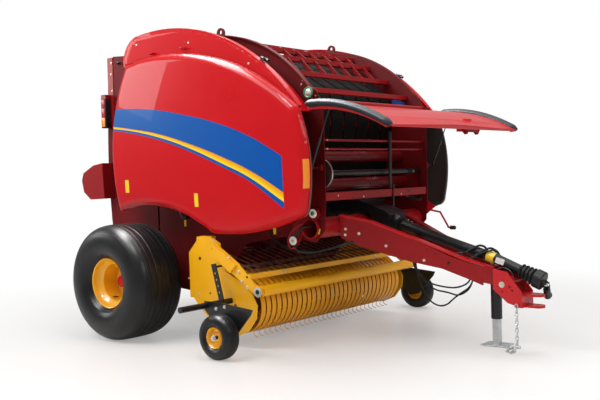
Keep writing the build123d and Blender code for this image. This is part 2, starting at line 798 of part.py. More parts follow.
def tail_sheet(side):
    x0 = split_x - split_gap
    face = outline(
        (x0, hinge_z - 248),
        ((-205, hinge_z - 168), (-262, hinge_z - 40)),
        (-285, hinge_z + 100),
        (tail_x + 110, hinge_z + 128),
        (tail_x + 20, hinge_z + 60),
        (tail_x, hinge_z - 440),
        ((tail_x - 22, hinge_z / 2 + 330), (tail_x, 1100)),
        ((tail_x + 110, 760), (-430, 560)),
        (x0, 480),
    )
    plate = between(face, side * half_chamber, side * sheet_out)
    ear_face = outline((0, hinge_z - 80), ((80, hinge_z), (0, hinge_z + 80)), (-420, hinge_z + 80),
                       (-420, hinge_z - 320))
    ear = between(ear_face, side * sheet_out, side * (sheet_out + 14))
    ear = ear - cross_rod(hinge_x, hinge_z, *y_span(side, half_chamber, sheet_out + side_gap), 264)
    hole = cross_rod(hinge_x, hinge_z, *y_span(side, half_chamber - 5, sheet_out + 50), hinge_pin_radius + run_fit)
    return joined(plate, ear) - hole


def tail_tubes():
    reach = half_chamber - touch_gap
    pieces = [cross_rod(x, z, -reach, reach, r) for x, z, r in ((-740, hinge_z + 60, 32), (-745, 1180, 36),
                                                                (-180, 560, 38))]
    return Compound(pieces)


def tail_rollers():
    reach = half_chamber - touch_gap
    rollers = ((-480, hinge_z + 3.4, 55), (-640, hinge_z - 210, 48), (-600, 900, 48), (-330, 690, 55))
    pieces = [cross_rod(x, z, -reach, reach, r) for x, z, r in rollers]
    return Compound(pieces)


def tail_belts():
    t = belt_thickness
    face = outline(
        (-110, hinge_z + 60), (-500, hinge_z + 66), (-560, hinge_z + 45), (-700, hinge_z - 180),
        ((-725, hinge_z / 2 + 330), (-665, 900)), (-640, 850), (-360, 625), (-330, 618), (-330, 618 + t), (-356, 632),
        (-634, 855), (-657, 900), ((-717, hinge_z / 2 + 330), (-692, hinge_z - 182)), (-554, hinge_z + 39),
        (-498, hinge_z + 59), (-110, hinge_z + 53),
    )
    return belts(face)


def rear_lamp(side):
    plate = block((tail_x + 20, tail_x + 100), y_span(side, sheet_out, sheet_out + 6), (hinge_z - 580, hinge_z + 120))
    housing = block((tail_x - 10, tail_x + 60), y_span(side, sheet_out + 6, sheet_out + 76), (hinge_z - 540, hinge_z - 250))
    return joined(plate, housing)


def rear_box():
    top = hinge_z - 930
    face = outline((tail_x + 40, top), (tail_x - 110, top - 20), (tail_x - 275, top - 95), (rear_box_x, top - 170),
                   (rear_box_x + 30, top - 290), (tail_x - 170, top - 365), (tail_x + 60, top - 355))
    return between(face, -sheet_out, -(sheet_out + 130))


# tailgate cylinders and hood gas struts: each is a tube pinned to the frame and a rod that slides in it

cylinder_foot = (350, 1100)
cylinder_eye = (-300, hinge_z - 490)
cylinder_y = sheet_out + 60


def linkage(foot, eye, y, tube_radius, rod_radius, rod_out, rod_start, pin_radius, head, pin_span):
    """A tube pinned to the frame at its foot, and a rod, out by rod_out, that carries its own pin at its eye."""
    foot_v, eye_v = at(foot, y), at(eye, y)
    along = (eye_v - foot_v).normalized()
    tube_length = (eye_v - foot_v).length - rod_out
    tube = rod(tuple(foot_v), tuple(foot_v + along * tube_length), tube_radius)
    bore = rod(tuple(foot_v + along * (head + 20)), tuple(foot_v + along * (tube_length + 5)), rod_radius + run_fit)
    boss = cross_rod(*foot, y - head, y + head, tube_radius + 3)
    foot_hole = cross_rod(*foot, y - 2 * head, y + 2 * head, pin_radius + run_fit)
    tube = joined(tube, boss) - foot_hole - bore
    start = foot_v + along * rod_start
    piston = rod(tuple(start), tuple(eye_v), rod_radius)
    eye_boss = cross_rod(*eye, y - head, y + head, pin_radius + 10)
    return tube, joined(piston, eye_boss, cross_rod(*eye, *pin_span, pin_radius))


def tail_cylinder(side):
    return linkage(cylinder_foot, cylinder_eye, side * cylinder_y, 38, 20, 291.1, 220, 16, 24,
                   y_span(side, sheet_out + 20, cylinder_y + 34))


strut_foot = (1925, hood_hinge_z - 522)
strut_eye = (2120, hood_hinge_z - 66)
strut_y = sheet_out + 142


def hood_strut(side):
    return linkage(strut_foot, strut_eye, side * strut_y, 11, 5, 245.9, 190, 4, 8,
                   y_span(side, strut_y - 10, hood_half - 12))


def linkage_feet():
    """Pins on the side sheets that the cylinders and the hood's struts turn on."""
    seat = sheet_out + touch_gap
    pieces = []
    for _, side in sides:
        pieces.append(cross_rod(*cylinder_foot, *y_span(side, seat, cylinder_y + 34), 16))
        bracket = block((strut_foot[0] - 20, strut_foot[0] + 14), y_span(side, seat, sheet_out + 40),
                        (strut_foot[1] - 24, strut_foot[1] + 26))
        pieces.append(joined(bracket, cross_rod(*strut_foot, *y_span(side, seat, strut_y + 12), 4)))
    return Compound(pieces)


# pickup

band_tube = (900, 549.5)
band_tube_radius = 38
house_y = pickup_plate_y - 60
band_width = band_pitch - band_gap
band_count = 2 * int((house_y - band_width / 2) / band_pitch) + 1


def pickup_frame(side):
    plate_face = outline(
        (760, 930), (930, 930), (990, 905), (1045, 880), (1045, 800), (1100, 640), (1290, 560), (1400, 470), (1452, 380),
        (1440, 270), (1350, 160), (1205, 100), (1000, 100), (860, 240), (700, 390), (690, 500), (720, 700),
    )
    plate = between(plate_face, side * pickup_plate_y, side * (pickup_plate_y - 6))
    house_face = outline((650, 790), (790, 935), (930, 935), (940, 700), (900, 400), (650, 392))
    house = between(house_face, side * (pickup_plate_y - 6), side * house_y)
    house = house - cross_rod(*band_tube, *y_span(side, house_y - 5, pickup_plate_y - 6), band_tube_radius + touch_gap)
    arm_face = outline((rotor_x - 55, rotor_z - 40), ((rotor_x - 68, rotor_z), (rotor_x - 55, rotor_z + 40)),
                       (rotor_x, rotor_z + 70), (850, 670), (876, 640), (876, 500), (850, 500))
    arm = between(arm_face, side * (sheet_out + 20), side * (sheet_out + 32))
    arm = arm - cross_rod(*band_tube, *y_span(side, sheet_out, sheet_out + 60), band_tube_radius + touch_gap)
    pin_hole = cross_rod(rotor_x, rotor_z, *y_span(side, half_chamber, pickup_plate_y - 80), 32 + run_fit)
    guard_pin = cross_rod(guard_hinge_x, guard_hinge_z, *y_span(side, pickup_plate_y - 6, guard_arm_y + 40), 12)
    end_disc = cross_rod(reel_x, reel_z, *y_span(side, pickup_plate_y - 20, pickup_plate_y + 6), 40)
    reel_bore = cross_rod(reel_x, reel_z, *y_span(side, pickup_plate_y - 60, pickup_plate_y + 60), 22 + run_fit)
    return joined(plate, house, arm, guard_pin, end_disc) - pin_hole - reel_bore


def pickup_bands():
    r_out, r_in = band_radius, band_radius - band_sheet
    top, low = reel_z + r_out, reel_z - r_out
    face = outline(
        (880, top), (reel_x, top), ((reel_x + r_out, reel_z), (reel_x, low)), (990, low), (990, low + band_sheet),
        (reel_x, low + band_sheet), ((reel_x + r_in, reel_z), (reel_x, top - band_sheet)), (880, top - band_sheet),
    )
    pieces = []
    for i in range(band_count):
        y = (i - (band_count - 1) / 2) * band_pitch
        pieces.append(between(face, y - band_width / 2, y + band_width / 2))
    reach = pickup_plate_y - 6 - touch_gap
    tube = cross_rod(*band_tube, -reach, reach, band_tube_radius)
    rear = outline((985, low), (903, 250), (891, 380), (891, 520), (897, 520), (897, 381), (908, 253), (991, low))
    inner_reach = house_y - touch_gap
    sheet_low = between(rear, -inner_reach, inner_reach)
    return joined(*pieces, tube, sheet_low)


def reel():
    shaft = cross_rod(reel_x, reel_z, -(pickup_plate_y + 5), pickup_plate_y + 5, 22)
    reach = band_count * band_pitch / 2
    drum = cross_rod(reel_x, reel_z, -reach, reach, 70)
    bar_radius = 128
    bow = outline((bar_radius, tine / 2), ((214, 16), (tine_radius - 2, 44)), (tine_radius - 4, 50),
                  ((212, 22), (bar_radius, -tine / 2)))
    pieces = [drum, shaft]
    for k in range(tine_rows):
        turn = Pos(reel_x, 0, reel_z) * Rot(0, 360 / tine_rows * k + 45, 0)
        row = [rod((bar_radius, -reach, 0), (bar_radius, reach, 0), 13)]
        for end in (-reach + 40, 0, reach - 40):
            row.append(block((60, bar_radius), (end - 4, end + 4), (-12, 12)))
        for i in range(band_count - 1):
            y = (i - (band_count - 2) / 2) * band_pitch
            row.append(between(bow, y - tine / 2, y + tine / 2))
        pieces.append(turn * joined(*row))
    return joined(*pieces)


def gauge_arm(side):
    tube_x, tube_z = 1150, 400
    tube = cross_rod(tube_x, tube_z, *y_span(side, pickup_plate_y + touch_gap, gauge_y + 196), 25)
    fork_face = outline((tube_x - 32, 380), (tube_x - 20, 435), (1300, 435), (1660, 402), (1640, 360), (1460, 165),
                        (1350, 140))
    fork_y = gauge_y - 102
    fork = between(fork_face, side * fork_y, side * (fork_y + 10))
    pin = cross_rod(gauge_x, gauge_z, *y_span(side, fork_y, gauge_y + 62), gauge_pin_radius)
    strap_y = pickup_plate_y + 97
    strap_face = outline((1035, 712), (1088, 722), (1180, 385), (1126, 372))
    strap = between(strap_face, side * strap_y, side * (strap_y + 10))
    for i in range(1, 5):
        hole_x, hole_z = 1061 + i * 14.4, 690 - i * 52.5
        strap = strap - cross_rod(hole_x, hole_z, *y_span(side, strap_y - 5, strap_y + 15), 10)
    peg = cross_rod(1062, 690, *y_span(side, pickup_plate_y + touch_gap, strap_y + 10), 9)
    return joined(tube, fork, pin, strap, peg)


def guard_arms():
    pieces = []
    for _, side in sides:
        face = outline((960, 815), (985, 885), (1035, 885), (1300, 725), (1480, 560), (1560, 545), (1565, 480),
                       (1500, 455), (1300, 590), (1180, 665))
        arm = between(face, side * guard_arm_y, side * (guard_arm_y + 10))
        box_face = outline((985, 800), (1010, 876), (1036, 876), (1285, 715), (1215, 645))
        box = between(box_face, side * (guard_arm_y + 10), side * (guard_arm_y + 32))
        hole = cross_rod(guard_hinge_x, guard_hinge_z, *y_span(side, guard_arm_y - 5, guard_arm_y + 60), 12 + run_fit)
        bore = cross_rod(roller_x, roller_z, *y_span(side, guard_arm_y - 5, guard_arm_y + 60), 14 + run_fit)
        pieces.append(joined(arm, box) - hole - bore)
    bar = block((1385, 1425), (-guard_arm_y - 2, guard_arm_y + 2), (598, 640))
    return joined(*pieces, bar)


def guard_rod_set():
    pitch = 90
    count = 2 * int((pickup_plate_y - 60) / pitch)
    front, rear = (1385 - touch_gap, 615), (870, 765)
    face = outline(front, rear, (rear[0], rear[1] + 9), (front[0], front[1] + 9))
    pieces = [between(face, (i - (count - 1) / 2) * pitch - 4, (i - (count - 1) / 2) * pitch + 4) for i in range(count)]
    fall = (rear[1] - front[1]) / (front[0] - rear[0])
    tie_x = (1150, 1190)
    tie_z = [front[1] + (front[0] - x) * fall - 2 * touch_gap for x in tie_x]
    tie = between(outline((tie_x[0], tie_z[0]), (tie_x[1], tie_z[1]), (tie_x[1], tie_z[1] - 8), (tie_x[0], tie_z[0] - 8)),
                  -(count - 1) / 2 * pitch - 14, (count - 1) / 2 * pitch + 14)
    return Compound([*pieces, tie])


def guard_roller():
    drum = cross_rod(roller_x, roller_z, -(guard_arm_y - 8), guard_arm_y - 8, roller_radius)
    stub = cross_rod(roller_x, roller_z, -(guard_arm_y + 22), guard_arm_y + 22, 14)
    ends = [cross_rod(roller_x, roller_z, *y_span(side, guard_arm_y + 16, guard_arm_y + 26), 42) for _, side in sides]
    return joined(drum, stub, *ends)


# safety chain and hydraulic hoses

def chain():
    link_length, link_width, wire = 44, 28, chain_wire
    pitch = link_length - 2 * wire - chain_slack
    bent_pitch = pitch - chain_slack
    x, y = chain_x, -(tongue_front_y + 30)
    pieces = []
    outer = RectangleRounded(link_length, link_width, link_width / 2 - 1)
    inner = RectangleRounded(link_length - 2 * wire, link_width - 2 * wire, (link_width - 2 * wire) / 2 - 1)
    link = extrude(outer - inner, amount=wire / 2, both=True)
    z = chain_top - link_length / 2 + pitch / 2
    for i in range(chain_hanging_links):
        turn = Rot(0, 90, 0) if i % 2 else Rot(0, 90, 0) * Rot(90, 0, 0)
        pieces.append(Pos(x, y, z - pitch / 2) * turn * link)
        z -= pitch
    heading = chain_heading
    for i in range(chain_ground_links):
        fall = chain_falls[i] if i < len(chain_falls) else 0
        lean = (-45 if i % 2 else 45) + max(0, 15 - 5 * i)
        step = Vector(cos(radians(fall)) * cos(radians(heading)), cos(radians(fall)) * sin(radians(heading)),
                      -sin(radians(fall))) * bent_pitch
        middle = Vector(x, y, z) + step / 2
        pieces.append(Pos(*middle) * Rot(0, 0, heading) * Rot(0, fall, 0) * Rot(lean, 0, 0) * link)
        x, y, z = Vector(x, y, z) + step
        heading -= chain_turn if fall == 0 else 0
    return Compound(pieces)


hose_radius = 7
hose_routes = {
    "hose_front": ((2295, -60, hose_shelf_z), (2295, -60, 660), (2370, -60, 560), (2470, -58, 500), (2600, -54, 480),
                   (2720, -50, 480), (2842, -44, 540), (2842, -44, hose_strap_z)),
    "hose_middle": ((2275, 0, hose_shelf_z), (2275, 0, 650), (2350, 4, 520), (2460, 8, 440), (2590, 10, 430),
                    (2700, 12, 400), (2830, 10, 500), (2830, 10, hose_strap_z)),
    "hose_rear": ((2250, 60, hose_shelf_z), (2250, 60, 640), (2290, 60, 470), (2390, 58, 320), (2530, 55, 290),
                  (2650, 50, 400), (2818, 44, 500), (2818, 44, hose_strap_z)),
}


def hose(points):
    vectors = [Vector(*p) for p in points]
    radii = []
    for a, b, c in zip(vectors, vectors[1:], vectors[2:]):
        turn = radians((b - a).get_angle(c - b))
        shorter = min((b - a).length, (c - b).length)
        radii.append(0.45 * shorter * cos(turn / 2) / sin(turn / 2))
    path = FilletPolyline(*vectors, radius=radii)
    start = vectors[0]
    section = Plane(origin=start, z_dir=vectors[1] - start) * Circle(hose_radius)
    print("radii", [round(r) for r in radii], "length", round(path.length))
    return sweep(section, path=path)


def write(name, shape):
    export_step(Pos(datum_x, 0, 0) * shape, f"parts/{name}.step")


def build():
    nodes = {}
    for name, side in sides:
        nodes[f"tyre_{name}"] = main_tyre(side)
        nodes[f"rim_{name}"] = main_rim(side)
        nodes[f"gauge_tyre_{name}"] = gauge_tyre(side)
        nodes[f"gauge_rim_{name}"] = gauge_rim(side)
        nodes[f"side_sheet_{name}"] = side_sheet(side)
        nodes[f"top_strip_{name}"] = top_strip(side)
        nodes[f"shield_{name}"] = shield(side)
        nodes[f"tail_sheet_{name}"] = tail_sheet(side)
        nodes[f"pickup_side_{name}"] = pickup_frame(side)
        nodes[f"gauge_arm_{name}"] = gauge_arm(side)
    nodes["rear_lamps"] = Compound([rear_lamp(side) for _, side in sides])
    nodes["rear_box"] = rear_box()
    nodes["axle"] = axle()
    nodes["cross_members"] = Compound([torque_tube(), front_beam(), *lower_cross_tubes()])
    nodes["guide_grid"] = Compound([*guide_grid(), hood_bar()])
    for title, linkages in (("cylinder", tail_cylinder), ("strut", hood_strut)):
        tubes, rods = zip(*[linkages(side) for _, side in sides])
        nodes[f"{title}_tubes"] = Compound(list(tubes))
        nodes[f"{title}_rods"] = Compound(list(rods))
    nodes["hood_panel"] = hood_panel()
    nodes["hood_seals"] = hood_seals()
    nodes["tongue"] = tongue()
    nodes["hitch"] = hitch()
    nodes["jack_tube"] = jack_tube()
    nodes["jack_leg"] = jack_leg()
    nodes["driveline_guard"] = driveline_guard()
    nodes["pto_shaft"] = pto_shaft()
    nodes["hose_rack"] = hose_rack()
    nodes["net_tube"] = net_tube()
    nodes["guide_rods"] = guide_rods()
    nodes["front_lever"] = front_lever()
    nodes["linkage_feet"] = linkage_feet()
    nodes["disc_bracket"] = disc_bracket()
    nodes["crank_handle"] = crank_handle()
    nodes["front_belts"] = front_belts()
    nodes["front_rollers"] = Compound([*front_roller_set(), *feed_rolls()])
    nodes["feed_rotor"] = feed_rotor()
    nodes["tail_tubes"] = tail_tubes()
    nodes["tail_rollers"] = tail_rollers()
    nodes["tail_belts"] = tail_belts()
    nodes["pickup_bands"] = pickup_bands()
    nodes["reel"] = reel()
    nodes["guard_arms"] = guard_arms()
    nodes["guard_rods"] = guard_rod_set()
    nodes["guard_roller"] = guard_roller()
    nodes["safety_chain"] = chain()
    for name, points in hose_routes.items():
        nodes[name] = hose(points)
    return nodes


for node_name, node_shape in build().items():
    write(node_name, node_shape)
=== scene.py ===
import bpy
import bmesh
import math
import numpy as np
from mathutils import Vector, Matrix
from mathutils.geometry import delaunay_2d_cdt


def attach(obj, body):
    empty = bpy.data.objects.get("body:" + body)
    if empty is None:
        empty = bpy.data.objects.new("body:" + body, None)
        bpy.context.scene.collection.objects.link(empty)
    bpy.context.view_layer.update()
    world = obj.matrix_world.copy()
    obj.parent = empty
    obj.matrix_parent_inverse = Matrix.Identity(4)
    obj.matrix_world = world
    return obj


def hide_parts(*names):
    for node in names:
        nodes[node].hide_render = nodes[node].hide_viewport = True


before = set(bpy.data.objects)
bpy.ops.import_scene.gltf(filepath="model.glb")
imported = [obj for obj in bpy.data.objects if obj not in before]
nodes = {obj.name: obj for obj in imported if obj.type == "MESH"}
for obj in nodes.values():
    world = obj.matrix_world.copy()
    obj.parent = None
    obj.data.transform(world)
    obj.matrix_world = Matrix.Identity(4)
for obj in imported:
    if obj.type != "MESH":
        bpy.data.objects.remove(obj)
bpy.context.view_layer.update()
print("frame loaded:", len(nodes), "CAD nodes")

datumX = -1193.83   # where the wheel axle lies, as in the part's source
sides = {"right": -1, "left": 1}


def pt(x, y, z):   # working millimetres to the row frame's metres
    return Vector(((x + datumX) / 1000, y / 1000, z / 1000))


def placed(name, data):   # a new object at the origin
    obj = bpy.data.objects.new(name, data)
    bpy.context.scene.collection.objects.link(obj)
    return obj


# camera, at the photograph's viewing angle
cameraSet = {"x": 6136, "y": -6155, "z": 1466, "azimuth": 39.69, "down": 1.91, "roll": 1.64, "focal": 845.4}


def makeCamera(s):
    a, p, w = (math.radians(s[k]) for k in ("azimuth", "down", "roll"))
    right = Vector((math.cos(a), math.sin(a), 0))
    ahead = Vector((-math.sin(a) * math.cos(p), math.cos(a) * math.cos(p), -math.sin(p)))
    up = right.cross(ahead)
    r = right * math.cos(w) - up * math.sin(w)
    u = up * math.cos(w) + right * math.sin(w)
    cam = placed("camera", bpy.data.cameras.new("camera"))
    place = pt(s["x"], s["y"], s["z"])
    cam.matrix_world = Matrix.Translation(place) @ Matrix((r, u, -ahead)).transposed().to_4x4()
    cam.data.sensor_width = 36
    cam.data.sensor_fit = "HORIZONTAL"
    cam.data.lens = s["focal"] / 600 * 36
    bpy.context.scene.camera = cam


makeCamera(cameraSet)

# hydraulic hoses under the tongue: the same route points as the part's source
hoseRoutes = {
    "hose_front": [(2295, -60, 756), (2295, -60, 660), (2370, -60, 560), (2470, -58, 500), (2600, -54, 480),
                   (2720, -50, 480), (2842, -44, 540), (2842, -44, 624)],
    "hose_middle": [(2275, 0, 756), (2275, 0, 650), (2350, 4, 520), (2460, 8, 440), (2590, 10, 430),
                    (2700, 12, 400), (2830, 10, 500), (2830, 10, 624)],
    "hose_rear": [(2250, 60, 756), (2250, 60, 640), (2290, 60, 470), (2390, 58, 320), (2530, 55, 290),
                  (2650, 50, 400), (2818, 44, 500), (2818, 44, 624)],
}
hoseSet = {"radius": 0.007, "length": {"hose_front": 0.78, "hose_middle": 0.88, "hose_rear": 1.04}}


def routeCurve(name, points, radius):
    curve = bpy.data.curves.new(name, "CURVE")
    curve.dimensions = "3D"
    curve.bevel_depth = radius
    curve.bevel_resolution = 3
    curve.resolution_u = 10
    curve.use_fill_caps = True
    spline = curve.splines.new("NURBS")
    spline.points.add(len(points) - 1)
    for p, q in zip(spline.points, points):
        p.co = (*pt(*q), 1)
    spline.order_u = 3
    spline.use_endpoint_u = True
    return placed(name, curve)


# materials

def newMaterial(name):
    mat = bpy.data.materials.new(name)
    mat.use_nodes = True
    tree = mat.node_tree
    return mat, tree, tree.nodes["Principled BSDF"]


def addNode(tree, kind, inputs=None, **settings):
    node = tree.nodes.new(kind)
    for key, value in settings.items():
        setattr(node, key, value)
    for key, value in (inputs or {}).items():
        if isinstance(value, bpy.types.NodeSocket):
            tree.links.new(value, node.inputs[key])
        else:
            node.inputs[key].default_value = value
    return node


def maths(tree, operation, a, b=0.0):
    return addNode(tree, "ShaderNodeMath", {0: a, 1: b}, operation=operation).outputs[0]


def mapRange(tree, value, start, stop, low=0.0, high=1.0, **settings):
    ends = {"Value": value, "From Min": start, "From Max": stop, "To Min": low, "To Max": high}
    return addNode(tree, "ShaderNodeMapRange", ends, **settings).outputs["Result"]


def noise(tree, where, scale, detail, rough=0.5):
    inputs = {"Vector": where, "Scale": scale, "Detail": detail, "Roughness": rough}
    return addNode(tree, "ShaderNodeTexNoise", inputs).outputs["Fac"]


def ramp(tree, share, *stops):   # each stop holds a place and a colour
    node = addNode(tree, "ShaderNodeValToRGB", {"Fac": share})
    for element, (place, colour) in zip(node.color_ramp.elements, stops):
        element.position = place
        element.color = colour
    return node.outputs["Color"]


def mixed(tree, share, first, second):
    return addNode(tree, "ShaderNodeMix", {0: share, 6: first, 7: second}, data_type="RGBA").outputs[2]


def axesOf(tree, vector):
    return addNode(tree, "ShaderNodeSeparateXYZ", {"Vector": vector}).outputs


def shaded(colour, factor):
    return tuple(c * factor for c in colour[:3]) + (1,)


def surface(name, colour, rough, metal=0.0, coat=0.0, coatRough=0.06, specular=0.5, patch=0.12,
            patchScale=2.5, fine=300, bump=0.03, brush=(1, 1, 1), roughSpread=0.08, dust=None, dustTop=0.9,
            dustAmount=0.35):
    # colour that drifts over the surface, fine relief, and dust that settles low down
    mat, tree, shader = newMaterial(name)
    where = addNode(tree, "ShaderNodeTexCoord").outputs["Object"]
    drift = noise(tree, where, patchScale, 5, 0.6)
    out = ramp(tree, drift, (0.3, shaded(colour, 1 - patch)), (0.72, shaded(colour, 1 + patch * 0.6)))
    if dust:
        low = mapRange(tree, axesOf(tree, where)["Z"], dustTop, 0.0, 0.0, dustAmount)
        cloud = noise(tree, where, 9, 7, 0.7)
        out = mixed(tree, maths(tree, "MULTIPLY", low, cloud), out, shaded(dust, 1))
    tree.links.new(out, shader.inputs["Base Color"])
    spread = mapRange(tree, drift, 0.0, 1.0, max(0.02, rough - roughSpread), rough + roughSpread)
    tree.links.new(spread, shader.inputs["Roughness"])
    stretch = addNode(tree, "ShaderNodeMapping", {"Vector": where, "Scale": brush}).outputs["Vector"]
    grain = noise(tree, stretch, fine, 3)
    relief = addNode(tree, "ShaderNodeBump", {"Height": grain, "Strength": bump, "Distance": 0.002})
    tree.links.new(relief.outputs["Normal"], shader.inputs["Normal"])
    shader.inputs["Metallic"].default_value = metal
    if coat:
        shader.inputs["Coat Weight"].default_value = coat
        shader.inputs["Coat Roughness"].default_value = coatRough
    shader.inputs["Specular IOR Level"].default_value = specular
    return mat


black = (0.008, 0.008, 0.009)
paints = {   # colour, roughness, and what differs from surface's own values
    "shieldRed": ((0.54, 0.005, 0.009), 0.30, dict(coat=0.25, coatRough=0.02, specular=0.06, patch=0.04,
                                                   fine=500, bump=0.004)),
    "frameRed": ((0.30, 0.006, 0.008), 0.36, dict(coat=0.2, specular=0.15, fine=420, bump=0.04)),
    "hoodRed": ((0.56, 0.010, 0.014), 0.34, dict(coat=0.25, specular=0.2, patch=0.08, fine=420)),
    # painted shade: a darker copy of the frame's red paint, standing in for the shade in the chamber
    "shadedInsideRed": ((0.14, 0.004, 0.006), 0.45, dict(specular=0.10, patch=0.2, fine=400, bump=0.05)),
    "rollRed": ((0.15, 0.005, 0.007), 0.32, dict(coat=0.2, specular=0.2, patch=0.18, bump=0.04)),
    "yellowPaint": ((0.93, 0.45, 0.006), 0.36, dict(coat=0.2, specular=0.2, patch=0.06, fine=420, bump=0.04,
                                                    dust=(0.45, 0.24, 0.05), dustTop=0.5, dustAmount=0.25)),
    "bandYellow": ((0.92, 0.40, 0.006), 0.36, dict(coat=0.25, specular=0.2, patch=0.08, fine=380, bump=0.04,
                                                   dust=(0.36, 0.17, 0.04), dustTop=0.7, dustAmount=0.45)),
    "rimYellow": ((0.88, 0.43, 0.010), 0.32, dict(coat=0.4, patch=0.05, fine=500)),
    "blackPaint": (black, 0.36, dict(coat=0.2, specular=0.3, patch=0.25, fine=420, bump=0.04)),
    "blackPlastic": (black, 0.42, dict(specular=0.3, patch=0.2, fine=700, bump=0.06)),
    "tyreRubber": (black, 0.34, dict(specular=0.28, patch=0.25, patchScale=6, fine=240, bump=0.05,
                                     dust=(0.07, 0.065, 0.06), dustTop=0.16)),
    "beltRubber": ((0.005, 0.0035, 0.0035), 0.7, dict(specular=0.08, patch=0.25, fine=260, bump=0.2,
                                                      brush=(1, 9, 1))),
    "sealRubber": ((0.016, 0.021, 0.028), 0.46, dict(specular=0.25, patch=0.2, fine=500, bump=0.04)),
    "hoseRubber": ((0.006, 0.006, 0.007), 0.38, dict(specular=0.35, patch=0.2, fine=900, bump=0.1)),
    "springSteel": ((0.92, 0.46, 0.05), 0.40, dict(patch=0.2, fine=500, bump=0.06)),
    "rustyRod": ((0.16, 0.060, 0.026), 0.58, dict(metal=0.2, patch=0.4, patchScale=14, fine=400, bump=0.2)),
    "zinc": ((0.62, 0.65, 0.66), 0.40, dict(metal=0.85, patch=0.2, patchScale=22, bump=0.08)),
    "boltZinc": ((0.72, 0.68, 0.58), 0.34, dict(metal=0.9, patch=0.15, patchScale=60, fine=600, bump=0.05)),
    "brass": ((0.55, 0.36, 0.14), 0.35, dict(metal=0.9, patch=0.2, patchScale=40, fine=500, bump=0.05)),
    "chrome": ((0.78, 0.79, 0.80), 0.16, dict(metal=1.0, patch=0.05, fine=600, bump=0.01, roughSpread=0.04)),
    "brakeBrown": ((0.10, 0.045, 0.035), 0.45, dict(metal=0.5, patch=0.25, patchScale=20, bump=0.08)),
    "lampRed": ((0.40, 0.006, 0.008), 0.25, dict(coat=0.25, patch=0.05, fine=150, bump=0.2)),
    "lampOrange": ((0.85, 0.25, 0.01), 0.22, dict(coat=0.6, patch=0.05, fine=220, bump=0.3)),
    "plateYellow": ((0.90, 0.62, 0.004), 0.35, dict(coat=0.1, patch=0.06, bump=0.02)),
    "plateBlue": ((0.02, 0.10, 0.42), 0.35, dict(coat=0.3, patch=0.06, bump=0.02)),
    "whitePlastic": ((0.80, 0.79, 0.75), 0.38, dict(patch=0.06)),
    "sealGreen": ((0.03, 0.35, 0.14), 0.4, dict(patch=0.1)),
    "innerGrey": ((0.075, 0.068, 0.062), 0.55, dict(patch=0.22, fine=260, bump=0.10)),
}
mats = {name: surface(name, colour, rough, **more) for name, (colour, rough, more) in paints.items()}

# stripes on the shields: (x, z) edges in working millimetres, from the top down
stripeSet = {
    "low": -420, "high": 1840, "end": 1786, "tall": 3000, "soft": 0.0003,
    "bandTop": [(-420, 2104), (-314, 2104), (21, 2084), (351, 2051), (653, 1998), (1092, 1897), (1467, 1764),
                (1640, 1676), (1798, 1587), (1840, 1560)],
    "yellowTop": [(-420, 1954), (-364, 1947), (15, 1895), (344, 1842), (775, 1732), (1178, 1600),
                  (1489, 1472), (1783, 1309), (1840, 1274)],
    "yellowLow": [(-420, 1934), (-371, 1928), (67, 1869), (438, 1792), (773, 1695), (1175, 1546),
                  (1450, 1431), (1769, 1241), (1840, 1196)],
    "blueLow": [(-420, 1914), (-372, 1909), (66, 1847), (437, 1767), (771, 1668), (1173, 1518), (1448, 1400),
                (1758, 1196), (1840, 1140)],
    "blues": ((0.022, 0.11, 0.36, 1), (0.004, 0.08, 0.36, 1)),
    "yellows": ((0.85, 0.30, 0.01, 1), (0.90, 0.62, 0.02, 1)),
    "coat": (0.25, 0.06),
}


def edgeHeight(tree, along, points, s):   # the height of an edge above that place, as a share of the tall
    node = addNode(tree, "ShaderNodeFloatCurve", {"Value": along})
    curve = node.mapping.curves[0]
    spots = [((x - s["low"]) / (s["high"] - s["low"]), z / s["tall"]) for x, z in points]
    curve.points[0].location, curve.points[1].location = spots[0], spots[-1]
    for x, z in spots[1:-1]:
        curve.points.new(x, z)
    node.mapping.update()
    return node.outputs[0]


